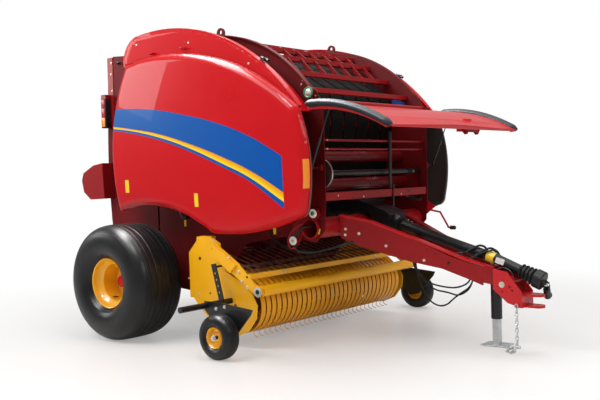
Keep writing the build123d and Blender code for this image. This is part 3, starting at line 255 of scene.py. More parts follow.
def stripedShield(s):
    mat = mats["shieldRed"].copy()
    mat.name = "shieldStriped"
    tree = mat.node_tree
    shader = tree.nodes["Principled BSDF"]
    paint = shader.inputs["Base Color"].links[0].from_socket
    x, _, z = axesOf(tree, addNode(tree, "ShaderNodeTexCoord").outputs["Object"])
    low, high, end = ((s[key] + datumX) / 1000 for key in ("low", "high", "end"))
    along = mapRange(tree, x, low, high)
    height = maths(tree, "MULTIPLY", z, 1000 / s["tall"])
    edges = ("bandTop", "yellowTop", "yellowLow", "blueLow")
    gaps = {key: maths(tree, "SUBTRACT", edgeHeight(tree, along, s[key], s), height) for key in edges}
    under = {key: mapRange(tree, gap, -s["soft"], s["soft"]) for key, gap in gaps.items()}
    # only behind the stripes' front end, and on the outside of the skin
    aim = addNode(tree, "ShaderNodeVectorTransform",
                  {"Vector": addNode(tree, "ShaderNodeNewGeometry").outputs["True Normal"]},
                  vector_type="NORMAL", convert_from="WORLD", convert_to="OBJECT").outputs["Vector"]
    facing = mapRange(tree, maths(tree, "ABSOLUTE", axesOf(tree, aim)["Y"]), 0.3, 0.35)
    shown = maths(tree, "MULTIPLY", mapRange(tree, x, end + 0.001, end - 0.001), facing)

    def between(top, bottom):
        above = maths(tree, "SUBTRACT", 1.0, under[bottom])
        return maths(tree, "MULTIPLY", maths(tree, "MULTIPLY", under[top], shown), above)

    blue = ramp(tree, along, *zip((0, 1), s["blues"]))
    width = maths(tree, "SUBTRACT", gaps["yellowLow"], gaps["yellowTop"])
    share = maths(tree, "ABSOLUTE", maths(tree, "DIVIDE", gaps["yellowTop"], width))
    yellow = ramp(tree, share, *zip((0.1, 0.75), s["yellows"]))
    for top, bottom, colour in zip(edges, edges[1:], (blue, yellow, blue)):
        paint = mixed(tree, between(top, bottom), paint, colour)
    tree.links.new(paint, shader.inputs["Base Color"])
    tree.links.new(mapRange(tree, between(edges[0], edges[-1]), 0.0, 1.0, *s["coat"]),
                   shader.inputs["Coat Weight"])
    return mat


mats["shieldStriped"] = stripedShield(stripeSet)
print("materials made:", len(mats))

nodeFinish = {
    "frameRed": "tongue hitch cross_members axle top_strip_right top_strip_left rear_box guide_rods "
                "hose_rack guide_grid hood_panel rear_lamps",
    # the side and tail sheets, tubes, rotor and feet take the darker red with painted shade in it
    "shadedInsideRed": "side_sheet_right side_sheet_left tail_sheet_right tail_sheet_left tail_tubes feed_rotor "
                 "linkage_feet",
    "hoodRed": "crank_handle",
    "rollRed": "front_rollers tail_rollers",
    "yellowPaint": "pickup_side_right pickup_side_left guard_arms guard_roller",
    "bandYellow": "pickup_bands",
    "rimYellow": "rim_right rim_left gauge_rim_right gauge_rim_left",
    "blackPaint": "jack_tube gauge_arm_right gauge_arm_left cylinder_tubes strut_tubes strut_rods net_tube "
                  "front_lever",
    "blackPlastic": "driveline_guard pto_shaft",
    "tyreRubber": "tyre_right tyre_left gauge_tyre_right gauge_tyre_left",
    "beltRubber": "front_belts tail_belts",
    "sealRubber": "hood_seals",
    "hoseRubber": "hose_front hose_middle hose_rear",
    "springSteel": "reel",
    "rustyRod": "guard_rods",
    "zinc": "jack_leg safety_chain",
    "chrome": "cylinder_rods",
    "shieldStriped": "shield_right shield_left",
}
for finish, names in nodeFinish.items():
    for name in names.split():
        nodes[name].data.materials.clear()
        nodes[name].data.materials.append(mats[finish])
print("CAD nodes finished")

for name, points in hoseRoutes.items():
    hose = routeCurve(f"{name}_looped", points, hoseSet["radius"])
    hose.data.materials.append(mats["hoseRubber"])
    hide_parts(name)
    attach(hose, "frame")
print("hoses laid")

# small makers shared by the pieces

def finished(mesh, finish, angle=35):   # its paints, and smooth shading up to that angle
    for key in finish.split():
        mesh.materials.append(mats[key])
    if angle:
        mesh.shade_smooth()
        mesh.set_sharp_from_angle(angle=math.radians(angle))


def bmObject(name, bm, finish, angle=35):
    bmesh.ops.recalc_face_normals(bm, faces=bm.faces)
    mesh = bpy.data.meshes.new(name)
    bm.to_mesh(mesh)
    bm.free()
    finished(mesh, finish, angle)
    return placed(name, mesh)


def evaluated(obj):
    return bpy.data.meshes.new_from_object(obj.evaluated_get(bpy.context.evaluated_depsgraph_get()))


def bakeModifiers(obj):
    mesh, old = evaluated(obj), obj.data
    obj.modifiers.clear()
    obj.data = mesh
    bpy.data.meshes.remove(old)


def bridge(bm, rings, material=0, loop=False):
    # walls between rings of equally many vertices, with a cap at each end unless they close in a loop
    for one, two in zip(rings, rings[1:] + rings[:1] if loop else rings[1:]):
        for k in range(len(one)):
            j = (k + 1) % len(one)
            bm.faces.new((one[k], one[j], two[j], two[k])).material_index = material
    if not loop:
        for ring in (rings[0], rings[-1]):
            bm.faces.new(ring).material_index = material


def addLathe(bm, profile, centre, axis=(0, 1, 0), start=None, steps=96, material=0):
    # profile holds (along the axis, radius) in millimetres
    axis = Vector(axis).normalized()
    ref = Vector(start or ((1, 0, 0) if abs(axis.x) < 0.9 else (0, 0, 1))).normalized()
    side = axis.cross(ref).normalized()
    ref = side.cross(axis)
    rings = []
    for k in range(steps):
        t = 2 * math.pi * k / steps
        out = ref * math.cos(t) + side * math.sin(t)
        rings.append([bm.verts.new(centre + (axis * a + out * r) / 1000) for a, r in profile])
    bridge(bm, rings, material, loop=True)


def addRod(bm, start, end, radius, steps=16, material=0, tip=None):
    # start and end in working millimetres, with broken edges at its tips
    ahead = Vector(end) - Vector(start)
    length = ahead.length
    edge = min(radius * 0.18, length * 0.2) if tip is None else tip
    profile = [(0, 0.01), (0, radius - edge), (edge, radius), (length - edge, radius),
               (length, radius - edge), (length, 0.01)]
    addLathe(bm, profile, pt(*start), axis=ahead, steps=steps, material=material)


def addBlock(bm, low, high, bevel=2.0, turn=Matrix.Identity(3), material=0):
    # a box between two corners in working millimetres, with its edges broken
    centre = [(l + h) / 2 for l, h in zip(low, high)]
    size = [abs(h - l) for l, h in zip(low, high)]
    verts = bmesh.ops.create_cube(bm, size=1)["verts"]
    for v in verts:
        v.co = Vector([c * s / 1000 for c, s in zip(v.co, size)])
    edges = {e for v in verts for e in v.link_edges}
    width = min(bevel, min(size) * 0.3) / 1000
    grown = bmesh.ops.bevel(bm, geom=list(edges), offset=width, segments=2, affect="EDGES", profile=0.6)
    verts = {v for f in grown["faces"] for v in f.verts} | {v for v in verts if v.is_valid}
    place = Matrix.Translation(pt(*centre)) @ turn.to_4x4()
    for v in verts:
        v.co = place @ v.co
    for f in {f for v in verts for f in v.link_faces}:
        f.material_index = material


def addPlate(bm, outline, low, high, bevel):
    # an (x, z) outline in working millimetres made solid from one Y to another, with its rim broken
    verts = [bm.verts.new(pt(x, low, z)) for x, z in outline]
    made = bmesh.ops.extrude_face_region(bm, geom=[bm.faces.new(verts)])
    lifted = [g for g in made["geom"] if isinstance(g, bmesh.types.BMVert)]
    for v in lifted:
        v.co.y += (high - low) / 1000
    edges = {e for v in verts + lifted for e in v.link_edges}
    rim = [e for e in edges if len(e.link_faces) == 2 and e.calc_face_angle(0) > 0.6]
    bmesh.ops.bevel(bm, geom=rim, offset=bevel / 1000, segments=2, affect="EDGES", profile=0.6,
                    clamp_overlap=True)


def newTree(name, inputs):
    # a Geometry Nodes tree with named inputs, and the sockets that they come in by
    tree = bpy.data.node_groups.new(name, "GeometryNodeTree")
    tree.interface.new_socket("Geometry", in_out="INPUT", socket_type="NodeSocketGeometry")
    for key, kind in inputs.items():
        tree.interface.new_socket(key, in_out="INPUT", socket_type=f"NodeSocket{kind}")
    tree.interface.new_socket("Geometry", in_out="OUTPUT", socket_type="NodeSocketGeometry")
    return tree, tree.nodes.new("NodeGroupInput").outputs


def endTree(tree, geometry, paint):
    whole = addNode(tree, "GeometryNodeRealizeInstances", {"Geometry": geometry}).outputs[0]
    done = addNode(tree, "GeometryNodeSetMaterial", {"Geometry": whole, "Material": paint}).outputs[0]
    tree.links.new(done, tree.nodes.new("NodeGroupOutput").inputs[0])
    return tree


def useTree(obj, tree, values):
    mod = obj.modifiers.new(tree.name, "NODES")
    mod.node_group = tree
    ids = {item.name: item.identifier for item in tree.interface.items_tree if item.in_out == "INPUT"}
    for key, value in values.items():
        mod[ids[key]] = value


def hexTree(washerHeight=0.002):
    # hexagon heads on washers, one at each point, turned to the point's aim
    tree, first = newTree("boltHeads", {"headRadius": "Float", "headHeight": "Float", "washerRadius": "Float",
                                        "metal": "Material"})
    head = addNode(tree, "GeometryNodeMeshCylinder", {"Vertices": 6, "Radius": first["headRadius"],
                                                      "Depth": first["headHeight"]}).outputs["Mesh"]
    washer = addNode(tree, "GeometryNodeMeshCylinder", {"Vertices": 20, "Radius": first["washerRadius"],
                                                        "Depth": washerHeight}).outputs["Mesh"]
    lift = maths(tree, "ADD", maths(tree, "MULTIPLY", first["headHeight"], 0.5), washerHeight)
    up = addNode(tree, "ShaderNodeCombineXYZ", {"Z": lift}).outputs[0]
    both = tree.nodes.new("GeometryNodeJoinGeometry")
    for shape, move in ((head, up), (washer, (0, 0, washerHeight / 2))):
        moved = addNode(tree, "GeometryNodeTransform", {"Geometry": shape, "Translation": move}).outputs[0]
        tree.links.new(moved, both.inputs[0])
    aim = addNode(tree, "GeometryNodeInputNamedAttribute", {"Name": "aim"},
                  data_type="FLOAT_VECTOR").outputs[0]
    turn = addNode(tree, "FunctionNodeAlignRotationToVector", {"Vector": aim}, axis="Z").outputs[0]
    spots = addNode(tree, "GeometryNodeMeshToPoints", {"Mesh": first["Geometry"]}).outputs[0]
    heads = addNode(tree, "GeometryNodeInstanceOnPoints", {"Points": spots, "Instance": both.outputs[0],
                                                           "Rotation": turn}).outputs[0]
    return endTree(tree, heads, first["metal"])


boltTree = hexTree()


def aimed(aim, *spots):   # the same aim for each spot
    return [(*spot, aim) for spot in spots]


def bolts(name, body, places, head=9, height=7, washer=13, finish="boltZinc"):
    # places hold (x, y, z, aim) in working millimetres
    mesh = bpy.data.meshes.new(name)
    mesh.from_pydata([tuple(pt(*p[:3])) for p in places], [], [])
    aim = mesh.attributes.new("aim", "FLOAT_VECTOR", "POINT")
    for i, p in enumerate(places):
        aim.data[i].vector = p[3]
    obj = placed(name, mesh)
    useTree(obj, boltTree, {"headRadius": head / 1000, "headHeight": height / 1000,
                            "washerRadius": washer / 1000, "metal": mats[finish]})
    bakeModifiers(obj)
    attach(obj, body)


def copyCad(name, node, finish, bevel):
    # a dressed copy of a CAD node: merged, smoothed by angle, its sharp edges broken
    mesh = nodes[node].data.copy()
    mesh.name = name
    obj = placed(name, mesh)
    bm = bmesh.new()
    bm.from_mesh(mesh)
    bmesh.ops.remove_doubles(bm, verts=bm.verts, dist=0.00002)
    bmesh.ops.dissolve_limit(bm, angle_limit=math.radians(0.5), verts=bm.verts, edges=bm.edges)
    bm.to_mesh(mesh)
    bm.free()
    mesh.materials.clear()
    finished(mesh, finish, 0 if bevel else 35)
    if bevel:
        mesh.shade_smooth()
        edges = obj.modifiers.new("broken edges", "BEVEL")
        edges.width = bevel / 1000
        edges.segments = 2
        edges.limit_method = "ANGLE"
        edges.angle_limit = math.radians(30)
        normals = obj.modifiers.new("flat faces stay flat", "WEIGHTED_NORMAL")
        normals.weight = 80
        bakeModifiers(obj)
    return obj


# main tyres: a smooth crowned carcass with fine circumferential grooves
tyreSet = {
    "half": [(0, 521), (60, 520.6), (110, 519), (150, 515.5), (185, 508), (212, 496), (234, 478), (252, 452),
             (265, 418), (271.5, 380), (272, 340), (266, 302), (250, 268), (228, 246), (206, 235), (196, 228),
             (191, 223.4)],
    "grooves": [(18, 6, 9), (-18, 6, 9), (78, 7, 10), (-78, 7, 10), (136, 6, 9), (-136, 6, 9), (176, 3, 5),
                (-176, 3, 5)],
    "sideRings": [(262, 1.6), (300, 1.4), (452, 1.8)],
    "steps": 144, "wall": 14, "centre": (0, 1270, 521), "body": "wheel",
}


def smoothLine(points, each=4):
    # Catmull-Rom through (along, radius) points
    last = len(points) - 1
    line = []
    for i in range(last):
        near = [points[max(0, min(last, i + k))] for k in (-1, 0, 1, 2)]
        for t in (k / each for k in range(each)):
            line.append(tuple(0.5 * (2 * b + (c - a) * t + (2 * a - 5 * b + 4 * c - d) * t * t
                                     + (3 * b - a - 3 * c + d) * t ** 3) for a, b, c, d in zip(*near)))
    return line + [points[-1]]


def grooved(line, grooves):
    # cut narrow rounded grooves into the crown of a profile
    out = []
    for (a, r), (b, q) in zip(line, line[1:]):
        out.append((a, r))
        sign = 1 if b > a else -1
        for centre, width, depth in sorted(grooves, key=lambda g: g[0] * sign):
            if min(a, b) <= centre < max(a, b):
                crown = r + (q - r) * (centre - a) / (b - a)
                wall = [(width / 2 + 1.2, 0), (width / 2, 1.5), (width * 0.35, depth)]
                out += [(centre - sign * half, crown - fall) for half, fall in wall]
                out += [(centre + sign * half, crown - fall) for half, fall in reversed(wall)]
    return out + [line[-1]]


def makeTyre(side, key, s):
    half = smoothLine(s["half"])
    line = [(-a, r) for a, r in reversed(half[1:])] + half
    tread = s["half"][0][1] * 0.86   # the grooves cut only above this radius
    line = [(a, r) for a, r in line
            if r <= tread or not any(abs(a - at) < width / 2 + 1.6 for at, width, _ in s["grooves"])]
    outer = []
    for a, r in grooved(line, s["grooves"]):
        onWall = abs(a) > s["half"][6][0]
        bump = sum(h * math.exp(-((r - at) / 1.8) ** 2) for at, h in s["sideRings"]) if onWall else 0
        outer.append((a + math.copysign(bump, a), r))
    inner = [(a * (1 - s["wall"] / s["half"][9][0]), r - s["wall"] * 0.8) for a, r in reversed(half[:-3])]
    inner = inner + [(-a, r) for a, r in reversed(inner[:-1])]
    x, y, z = s["centre"]
    bm = bmesh.new()
    addLathe(bm, outer + inner, pt(x, sides[side] * y, z), steps=s["steps"])
    tyre = bmObject(f"{key}_{side}_grooved", bm, "tyreRubber", angle=50)
    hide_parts(f"{key}_{side}")
    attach(tyre, f"{s['body']}_{side}")


rimSet = {
    "profile": [(-206, 214), (-212, 222), (-206, 226), (-196, 222.6), (-160, 222.6), (-128, 176), (-90, 172),
                (90, 172), (128, 176), (160, 222.6), (196, 222.6), (206, 226), (212, 222), (206, 214),
                (176, 208), (150, 196), (126, 168), (70, 164), (-22, 162), (-26, 150), (-40, 128), (-44, 100),
                (-40, 68), (-52, 68), (-58, 100), (-54, 132), (-38, 152), (-38, 164), (-126, 166),
                (-150, 196), (-176, 208)],
    "hub": [(-60, 36), (-60, 66), (-46, 68), (4, 60), (40, 52), (58, 50), (66, 44), (68, 20), (68, 0.01),
            (-58, 0.01)],
    "bolts": 8, "boltCircle": 102, "boltFace": -44,
    "valve": ((150, 60), (146, 118)), "valveAt": 250, "valveRadius": 6,
}


def makeMainWheel(side, s):
    sign, body = sides[side], f"wheel_{side}"
    x, middle, height = tyreSet["centre"]
    centre = pt(x, sign * middle, height)
    makeTyre(side, "tyre", tyreSet)
    bm = bmesh.new()
    addLathe(bm, [(a * sign, r) for a, r in s["profile"]], centre)
    addLathe(bm, [(a * sign, r) for a, r in s["hub"]], centre, steps=48, material=1)
    rim = bmObject(f"rim_{side}_dished", bm, "rimYellow shieldRed", angle=40)
    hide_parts(f"rim_{side}")
    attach(rim, body)

    def spot(radius, angle, out):
        return (x + radius * math.cos(angle), sign * (middle + out), height + radius * math.sin(angle))

    turns = [2 * math.pi * (k + 0.5) / s["bolts"] for k in range(s["bolts"])]
    places = aimed((0, sign, 0), *[spot(s["boltCircle"], t, s["boltFace"]) for t in turns])
    bolts(f"wheel_nuts_{side}", body, places, head=13, height=16, washer=17)
    bm = bmesh.new()
    ends = [spot(radius, math.radians(s["valveAt"]), out) for radius, out in s["valve"]]
    addRod(bm, *ends, s["valveRadius"], steps=12)
    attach(bmObject(f"valve_{side}", bm, "blackPlastic"), body)


for side in sides:
    makeMainWheel(side, rimSet)
print("main wheels made")

# gauge wheels beside the pickup
gaugeSet = {
    "half": [(0, 180), (18, 179.6), (34, 178), (48, 173), (60, 163), (69, 148), (74, 130), (73, 112),
             (64, 98), (56, 90), (53, 85.3)],
    "grooves": [(0, 4, 5), (20, 4, 5), (-20, 4, 5), (40, 3, 4), (-40, 3, 4)],
    "sideRings": [(105, 1.0), (160, 1.2)],
    "steps": 96, "wall": 8, "centre": (1380, 1474, 180), "body": "gauge_wheel",
    "rim": [(-53, 80), (-58, 84), (-53, 86.4), (-46, 84.8), (-30, 84.4), (-20, 74), (20, 74), (30, 84.4),
            (46, 84.8), (53, 86.4), (58, 84), (53, 80), (34, 70), (14, 62), (10, 44), (20, 34), (22, 15),
            (-50, 15), (-50, 24), (-6, 32), (0, 44), (2, 64), (-34, 70)],
    "nutOut": 60,
}


def makeGaugeWheel(side, s):
    sign = sides[side]
    x, y, z = s["centre"]
    makeTyre(side, "gauge_tyre", s)
    bm = bmesh.new()
    addLathe(bm, [(a * sign, r) for a, r in s["rim"]], pt(x, sign * y, z), steps=64)
    rim = bmObject(f"gauge_rim_{side}_dished", bm, "rimYellow")
    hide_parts(f"gauge_rim_{side}")
    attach(rim, f"gauge_wheel_{side}")
    bolts(f"gauge_nut_{side}", "pickup", aimed((0, sign, 0), (x, sign * (y + s["nutOut"]), z)),
          head=15, height=14, washer=24, finish="zinc")


for side in sides:
    makeGaugeWheel(side, gaugeSet)
print("gauge wheels made")

# gull-wing shields: one pressed skin each, rolled at its edges
shieldSet = {
    "arcs": [((-130, 2508), (430, 2548), (977, 2470)), ((977, 2470), (1470, 2285), (1905, 1985)),
             ((1905, 1985), (1918, 1966), (1930, 1945)), ((1930, 1945), (2014, 1600), (1985, 1190)),
             ((1985, 1190), (1965, 1135), (1911, 1107)), ((1911, 1107), (1460, 985), (1011, 957)),
             ((1011, 957), (965, 961), (925, 985)), ((925, 985), (812, 1040), (699, 1092)),
             ((699, 1092), (180, 1195), (-308, 1131)), ((-308, 1131), (-394, 1640), (-170, 2460)),
             ((-170, 2460), (-156, 2490), (-130, 2508))],
    "centre": (830, 1750), "radius": 12000, "crown": 1162, "roll": 78, "rollDepth": 58, "skin": 4, "step": 15,
    "wall": 1056, "edgeStep": 16,
}


def arcPoints(a, m, b, spacing):
    # points on the circle through three (x, z) points, the last left out
    ax, az, mx, mz, bx, bz = *a, *m, *b
    d = 2 * (ax * (mz - bz) + mx * (bz - az) + bx * (az - mz))
    farA, farM, farB = ax ** 2 + az ** 2, mx ** 2 + mz ** 2, bx ** 2 + bz ** 2
    ux = (farA * (mz - bz) + farM * (bz - az) + farB * (az - mz)) / d
    uz = (farA * (bx - mx) + farM * (ax - bx) + farB * (mx - ax)) / d
    r = math.hypot(ax - ux, az - uz)
    t0, tm, t1 = (math.atan2(p[1] - uz, p[0] - ux) for p in (a, m, b))
    while tm < t0:
        tm += 2 * math.pi
    while t1 < tm:
        t1 += 2 * math.pi
    if t1 - t0 > 2 * math.pi:
        tm, t1 = tm - 2 * math.pi, t1 - 2 * math.pi
        while tm > t0:
            tm -= 2 * math.pi
        while t1 > tm:
            t1 -= 2 * math.pi
    count = max(2, int(abs(t1 - t0) * r / spacing))
    return [(ux + r * math.cos(t0 + (t1 - t0) * k / count), uz + r * math.sin(t0 + (t1 - t0) * k / count))
            for k in range(count)]


def edgeDistance(points, loop):
    p = np.array(points)[:, None, :]
    a = np.array(loop)[None, :, :]
    b = np.roll(np.array(loop), -1, 0)[None, :, :]
    ab = b - a
    t = np.clip(((p - a) * ab).sum(2) / (ab ** 2).sum(2), 0, 1)
    near = a + t[..., None] * ab
    return np.sqrt(((p - near) ** 2).sum(2)).min(1)


def pressedSkin(name, sign, loop, depthAt, s, finish):
    # a sheet over the (x, z) loop with a return wall, lifted to |Y| by depthAt(points, way in from the edge)
    low, high = np.min(loop, 0), np.max(loop, 0)
    step, count = s["step"], len(loop)
    grid = [(x, z) for x in np.arange(low[0], high[0], step) for z in np.arange(low[1], high[1], step)]
    inside = [g for g, d in zip(grid, edgeDistance(grid, loop)) if d > step * 0.55]
    got = delaunay_2d_cdt([Vector(p) for p in list(loop) + inside],
                          [(i, (i + 1) % count) for i in range(count)], [list(range(count))], 1, 1e-6)
    flat = np.array([tuple(v) for v in got[0]])
    depth = depthAt(flat, edgeDistance(flat, loop))
    bm = bmesh.new()
    verts = [bm.verts.new(pt(x, sign * y, z)) for (x, z), y in zip(flat, depth)]
    for f in got[2]:
        bm.faces.new([verts[i] for i in f])
    bmesh.ops.join_triangles(bm, faces=bm.faces, angle_face_threshold=0.6, angle_shape_threshold=0.6)
    rim = [e for e in bm.edges if len(e.link_faces) == 1]
    made = bmesh.ops.extrude_edge_only(bm, edges=rim)
    for v in [g for g in made["geom"] if isinstance(g, bmesh.types.BMVert)]:
        v.co.y = sign * s["wall"] / 1000
    bmesh.ops.recalc_face_normals(bm, faces=bm.faces)
    widest = max(bm.faces, key=lambda f: f.calc_area() * abs(f.normal.y))
    if widest.normal.y * sign < 0:
        bmesh.ops.reverse_faces(bm, faces=bm.faces)
    mesh = bpy.data.meshes.new(name)
    bm.to_mesh(mesh)
    bm.free()
    finished(mesh, finish, 0)
    obj = placed(name, mesh)
    mod = obj.modifiers.new("skin", "SOLIDIFY")
    mod.thickness = s["skin"] / 1000
    mod.offset = -1
    mod.material_offset = 1
    mod.material_offset_rim = 0
    bakeModifiers(obj)
    obj.data.shade_smooth()
    obj.data.set_sharp_from_angle(angle=math.radians(50))
    return obj


def rolled(distance, roll, depth):   # how far a rolled edge falls away, at a distance in from it
    t = np.clip(1 - distance / roll, 0, 1)
    return depth * (1 - np.sqrt(np.clip(1 - t ** 2, 0, 1)))


def shieldDepth(x, z):   # |Y| of the pressed skin away from its rolled edge
    s = shieldSet
    return s["crown"] - ((x - s["centre"][0]) ** 2 + (z - s["centre"][1]) ** 2) / (2 * s["radius"])


def makeShield(side, s):
    loop = [p for arc in s["arcs"] for p in arcPoints(*arc, s["edgeStep"])]

    def depthAt(flat, d):
        return shieldDepth(flat[:, 0], flat[:, 1]) - rolled(d, s["roll"], s["rollDepth"])

    shield = pressedSkin(f"shield_{side}_pressed", sides[side], loop, depthAt, s, "shieldStriped innerGrey")
    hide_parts(f"shield_{side}")
    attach(shield, f"shield_{side}")


for side in sides:
    makeShield(side, shieldSet)
print("shields pressed")

# CAD pieces dressed with broken edges: node, finish, bevel in millimetres, body
dressed = [
    ("top_strip_right", "shieldRed", 0, "frame"), ("top_strip_left", "shieldRed", 0, "frame"),
    ("cross_members", "frameRed", 1.2, "frame"), ("guide_grid", "frameRed", 1.5, "frame"),
    ("tongue", "frameRed", 2.5, "frame"), ("hitch", "hoodRed", 5.0, "frame"),
    ("jack_tube", "blackPaint", 1.5, "frame"), ("driveline_guard", "blackPlastic", 6.0, "frame"),
    ("disc_bracket", "frameRed", 1.5, "frame"), ("hose_rack", "frameRed", 1.0, "frame"),
    ("rear_box", "frameRed", 6.0, "tailgate"), ("jack_leg", "zinc", 1.5, "jack_leg"),
    ("hood_panel", "hoodRed", 1.5, "hood"), ("guard_arms", "yellowPaint", 2.5, "wind_guard"),
    ("gauge_arm_right", "blackPaint", 1.5, "pickup"), ("gauge_arm_left", "blackPaint", 1.5, "pickup"),
    ("pickup_side_right", "yellowPaint", 1.5, "pickup"), ("pickup_side_left", "yellowPaint", 1.5, "pickup"),
]
hoodFront = {"from": 2360, "tip": 2752, "crown": 20, "half": 1018, "lipFrom": 2740, "lipZ": 1776}
for node, finish, bevel, body in dressed:
    piece = copyCad(f"{node}_dressed", node, finish, bevel)
    if node == "hood_panel":   # its front edge is slimmer and rises a little toward the middle
        for v in piece.data.vertices:
            x, y, z = v.co.x * 1000 - datumX, v.co.y * 1000, v.co.z * 1000
            share = max(0, (x - hoodFront["from"]) / (hoodFront["tip"] - hoodFront["from"])) ** 2
            z = max(z, hoodFront["lipZ"]) if x > hoodFront["lipFrom"] else z
            v.co.z = (z + hoodFront["crown"] * share * (1 - (y / hoodFront["half"]) ** 2)) / 1000
    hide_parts(node)
    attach(piece, body)
print("frame pieces dressed:", len(dressed))


def plate(name, body, finish, face, width, length):
    # a thin blank plate with rounded corners: face is (centre, outward, up) in working millimetres
    centre, outward, up = pt(*face[0]), Vector(face[1]).normalized(), Vector(face[2]).normalized()
    across = up.cross(outward).normalized()
    up = outward.cross(across)
    corner = min(width, length) * 0.12
    ring = []
    for n, (sx, sz) in enumerate(((1, 1), (-1, 1), (-1, -1), (1, -1))):
        for k in range(4):
            t = math.radians(90 * n + 30 * k)
            ring.append(across * (sx * (width / 2 - corner) + corner * math.cos(t))
                        + up * (sz * (length / 2 - corner) + corner * math.sin(t)))
    bm = bmesh.new()
    bridge(bm, [[bm.verts.new(centre + (v + outward * lift) / 1000) for v in ring] for lift in (-1.5, 0.6)])
    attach(bmObject(name, bm, finish, angle=0), body)


def roundedTube(bm, points, radius, steps=12):
    # a bent bar or cable: straight runs in working millimetres with its corners rounded
    route = [pt(*p) for p in points]
    line = [route[0]]
    for a, b, c in zip(route, route[1:], route[2:]):
        cut = min((b - a).length, (c - b).length) * 0.42
        p, q = b + (a - b).normalized() * cut, b + (c - b).normalized() * cut
        line += [p.lerp(b, t).lerp(b.lerp(q, t), t) for t in (0, 0.17, 0.33, 0.5, 0.67, 0.83, 1)]
    line.append(route[-1])
    rings, side = [], None
    for i, v in enumerate(line):
        ahead = (line[min(i + 1, len(line) - 1)] - line[max(i - 1, 0)]).normalized()
        side = ahead.orthogonal() if side is None else side - ahead * side.dot(ahead)
        side.normalize()
        other = ahead.cross(side)
        rings.append([bm.verts.new(v + (side * math.cos(t) + other * math.sin(t)) * radius / 1000)
                      for t in (2 * math.pi * k / steps for k in range(steps))])
    bridge(bm, rings)


# roof strips: a smooth pressed face over each CAD strip
stripSet = {
    "arcs": [((-205, 2500), (-168, 2655), (0, 2757)), ((0, 2757), (520, 2765), (1017, 2646)),
             ((1017, 2646), (1420, 2440), (1900, 1990)), ((1900, 1990), (1874, 1974), (1845, 1960)),
             ((1845, 1960), (1420, 2262), (977, 2420)), ((977, 2420), (400, 2505), (-165, 2470)),
             ((-165, 2470), (-186, 2484), (-205, 2500))],
    "face": 1051.2, "roll": 12, "wall": 990, "proud": 1.2, "step": 26, "edgeStep": 20, "skin": 1.5,
}


def makeStrip(side, s):
    loop = np.array([p for arc in s["arcs"] for p in arcPoints(*arc, s["edgeStep"])])
    ahead = np.roll(loop, -1, 0) - np.roll(loop, 1, 0)
    out = np.stack([ahead[:, 1], -ahead[:, 0]], 1) / np.hypot(ahead[:, 0], ahead[:, 1])[:, None]
    out *= np.sign(((loop - loop.mean(0)) * out).sum())
    loop = [tuple(p) for p in loop + out * s["proud"]]

    def depthAt(flat, d):
        return s["face"] - rolled(d, s["roll"], s["roll"])

    strip = pressedSkin(f"strip_{side}_pressed", sides[side], loop, depthAt, s, "shieldRed shieldRed")
    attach(strip, "frame")


for side in sides:
    makeStrip(side, stripSet)

# blank plates, reflectors and bolts on the shields and strips
skinSet = {
    "plates": [(-131, 1376, 58, 118), (830, 1249, 47, 116)],
    "reflector": {"low": 1336, "high": 1564, "from": 5, "to": 42, "lift": 1.2},
    "stripBolts": [(-7, 2678), (686, 2617), (1394, 2365)],
    "latches": [(1530, 2385)],
}


def makeReflector(side, s):
    # follows the rolled front edge of the shield
    sign, skin = sides[side], shieldSet
    edge = sorted((z, x) for x, z in arcPoints(*skin["arcs"][3], 10))
    bm = bmesh.new()
    rows = []
    for z in np.linspace(s["low"], s["high"], 15):
        front = float(np.interp(z, *zip(*edge)))
        row = []
        for lift in (s["lift"], -0.5):
            for d in np.linspace(s["from"], s["to"], 7):
                drop, after = (float(rolled(at, skin["roll"], skin["rollDepth"])) for at in (d, d + 1))
                out = Vector((drop - after, 1, 0)).normalized() * lift
                y = shieldDepth(front - d, z) - drop
                row.append(bm.verts.new(pt(front - d + out.x, sign * (y + out.y), z)))
        rows.append(row[:7] + row[:6:-1])
    bridge(bm, rows)
    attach(bmObject(f"reflector_{side}", bm, "lampOrange", angle=50), f"shield_{side}")


def makeSkinDetails(side, s):
    sign, (midX, midZ), radius = sides[side], shieldSet["centre"], shieldSet["radius"]
    for k, (x, z, width, length) in enumerate(s["plates"]):
        spot = (x, sign * (shieldDepth(x, z) + 0.4), z)
        face = (spot, ((x - midX) / radius, sign, (z - midZ) / radius), (0, 0, 1))
        plate(f"shield_plate_{side}_{k}", f"shield_{side}", "plateYellow", face, width, length)
    makeReflector(side, s["reflector"])
    places = aimed((0, sign, 0), *[(x, sign * stripSet["face"], z) for x, z in s["stripBolts"]])
    bolts(f"strip_bolts_{side}", "frame", places, head=6, height=4, washer=9)
    bm = bmesh.new()
    for x, z in s["latches"]:
        addRod(bm, (x - 40, sign * 1000, z + 22), (x + 40, sign * 1000, z - 14), 13)
        addRod(bm, (x, sign * 985, z + 4), (x, sign * 1030, z + 4), 16)
    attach(bmObject(f"strip_latch_{side}", bm, "blackPlastic"), "frame")


for side in sides:
    makeSkinDetails(side, skinSet)
print("shield and strip details made")

# roof bearings: silver caps in green rings on the side sheets' brackets
bearingSet = {
    "x": 1835, "z": 2105, "y": 828, "boltY": 798.5,
    "ring": [(0, 28), (0, 44), (3, 46), (8, 45), (9, 40), (7, 33), (3, 29)],
    "cap": [(0, 0.01), (14, 0.01), (16, 12), (15, 17), (9, 22), (8, 30), (0, 31)],
    "bolts": [(1758, 2210), (1885, 2075), (1845, 2052), (1740, 2180)],
}


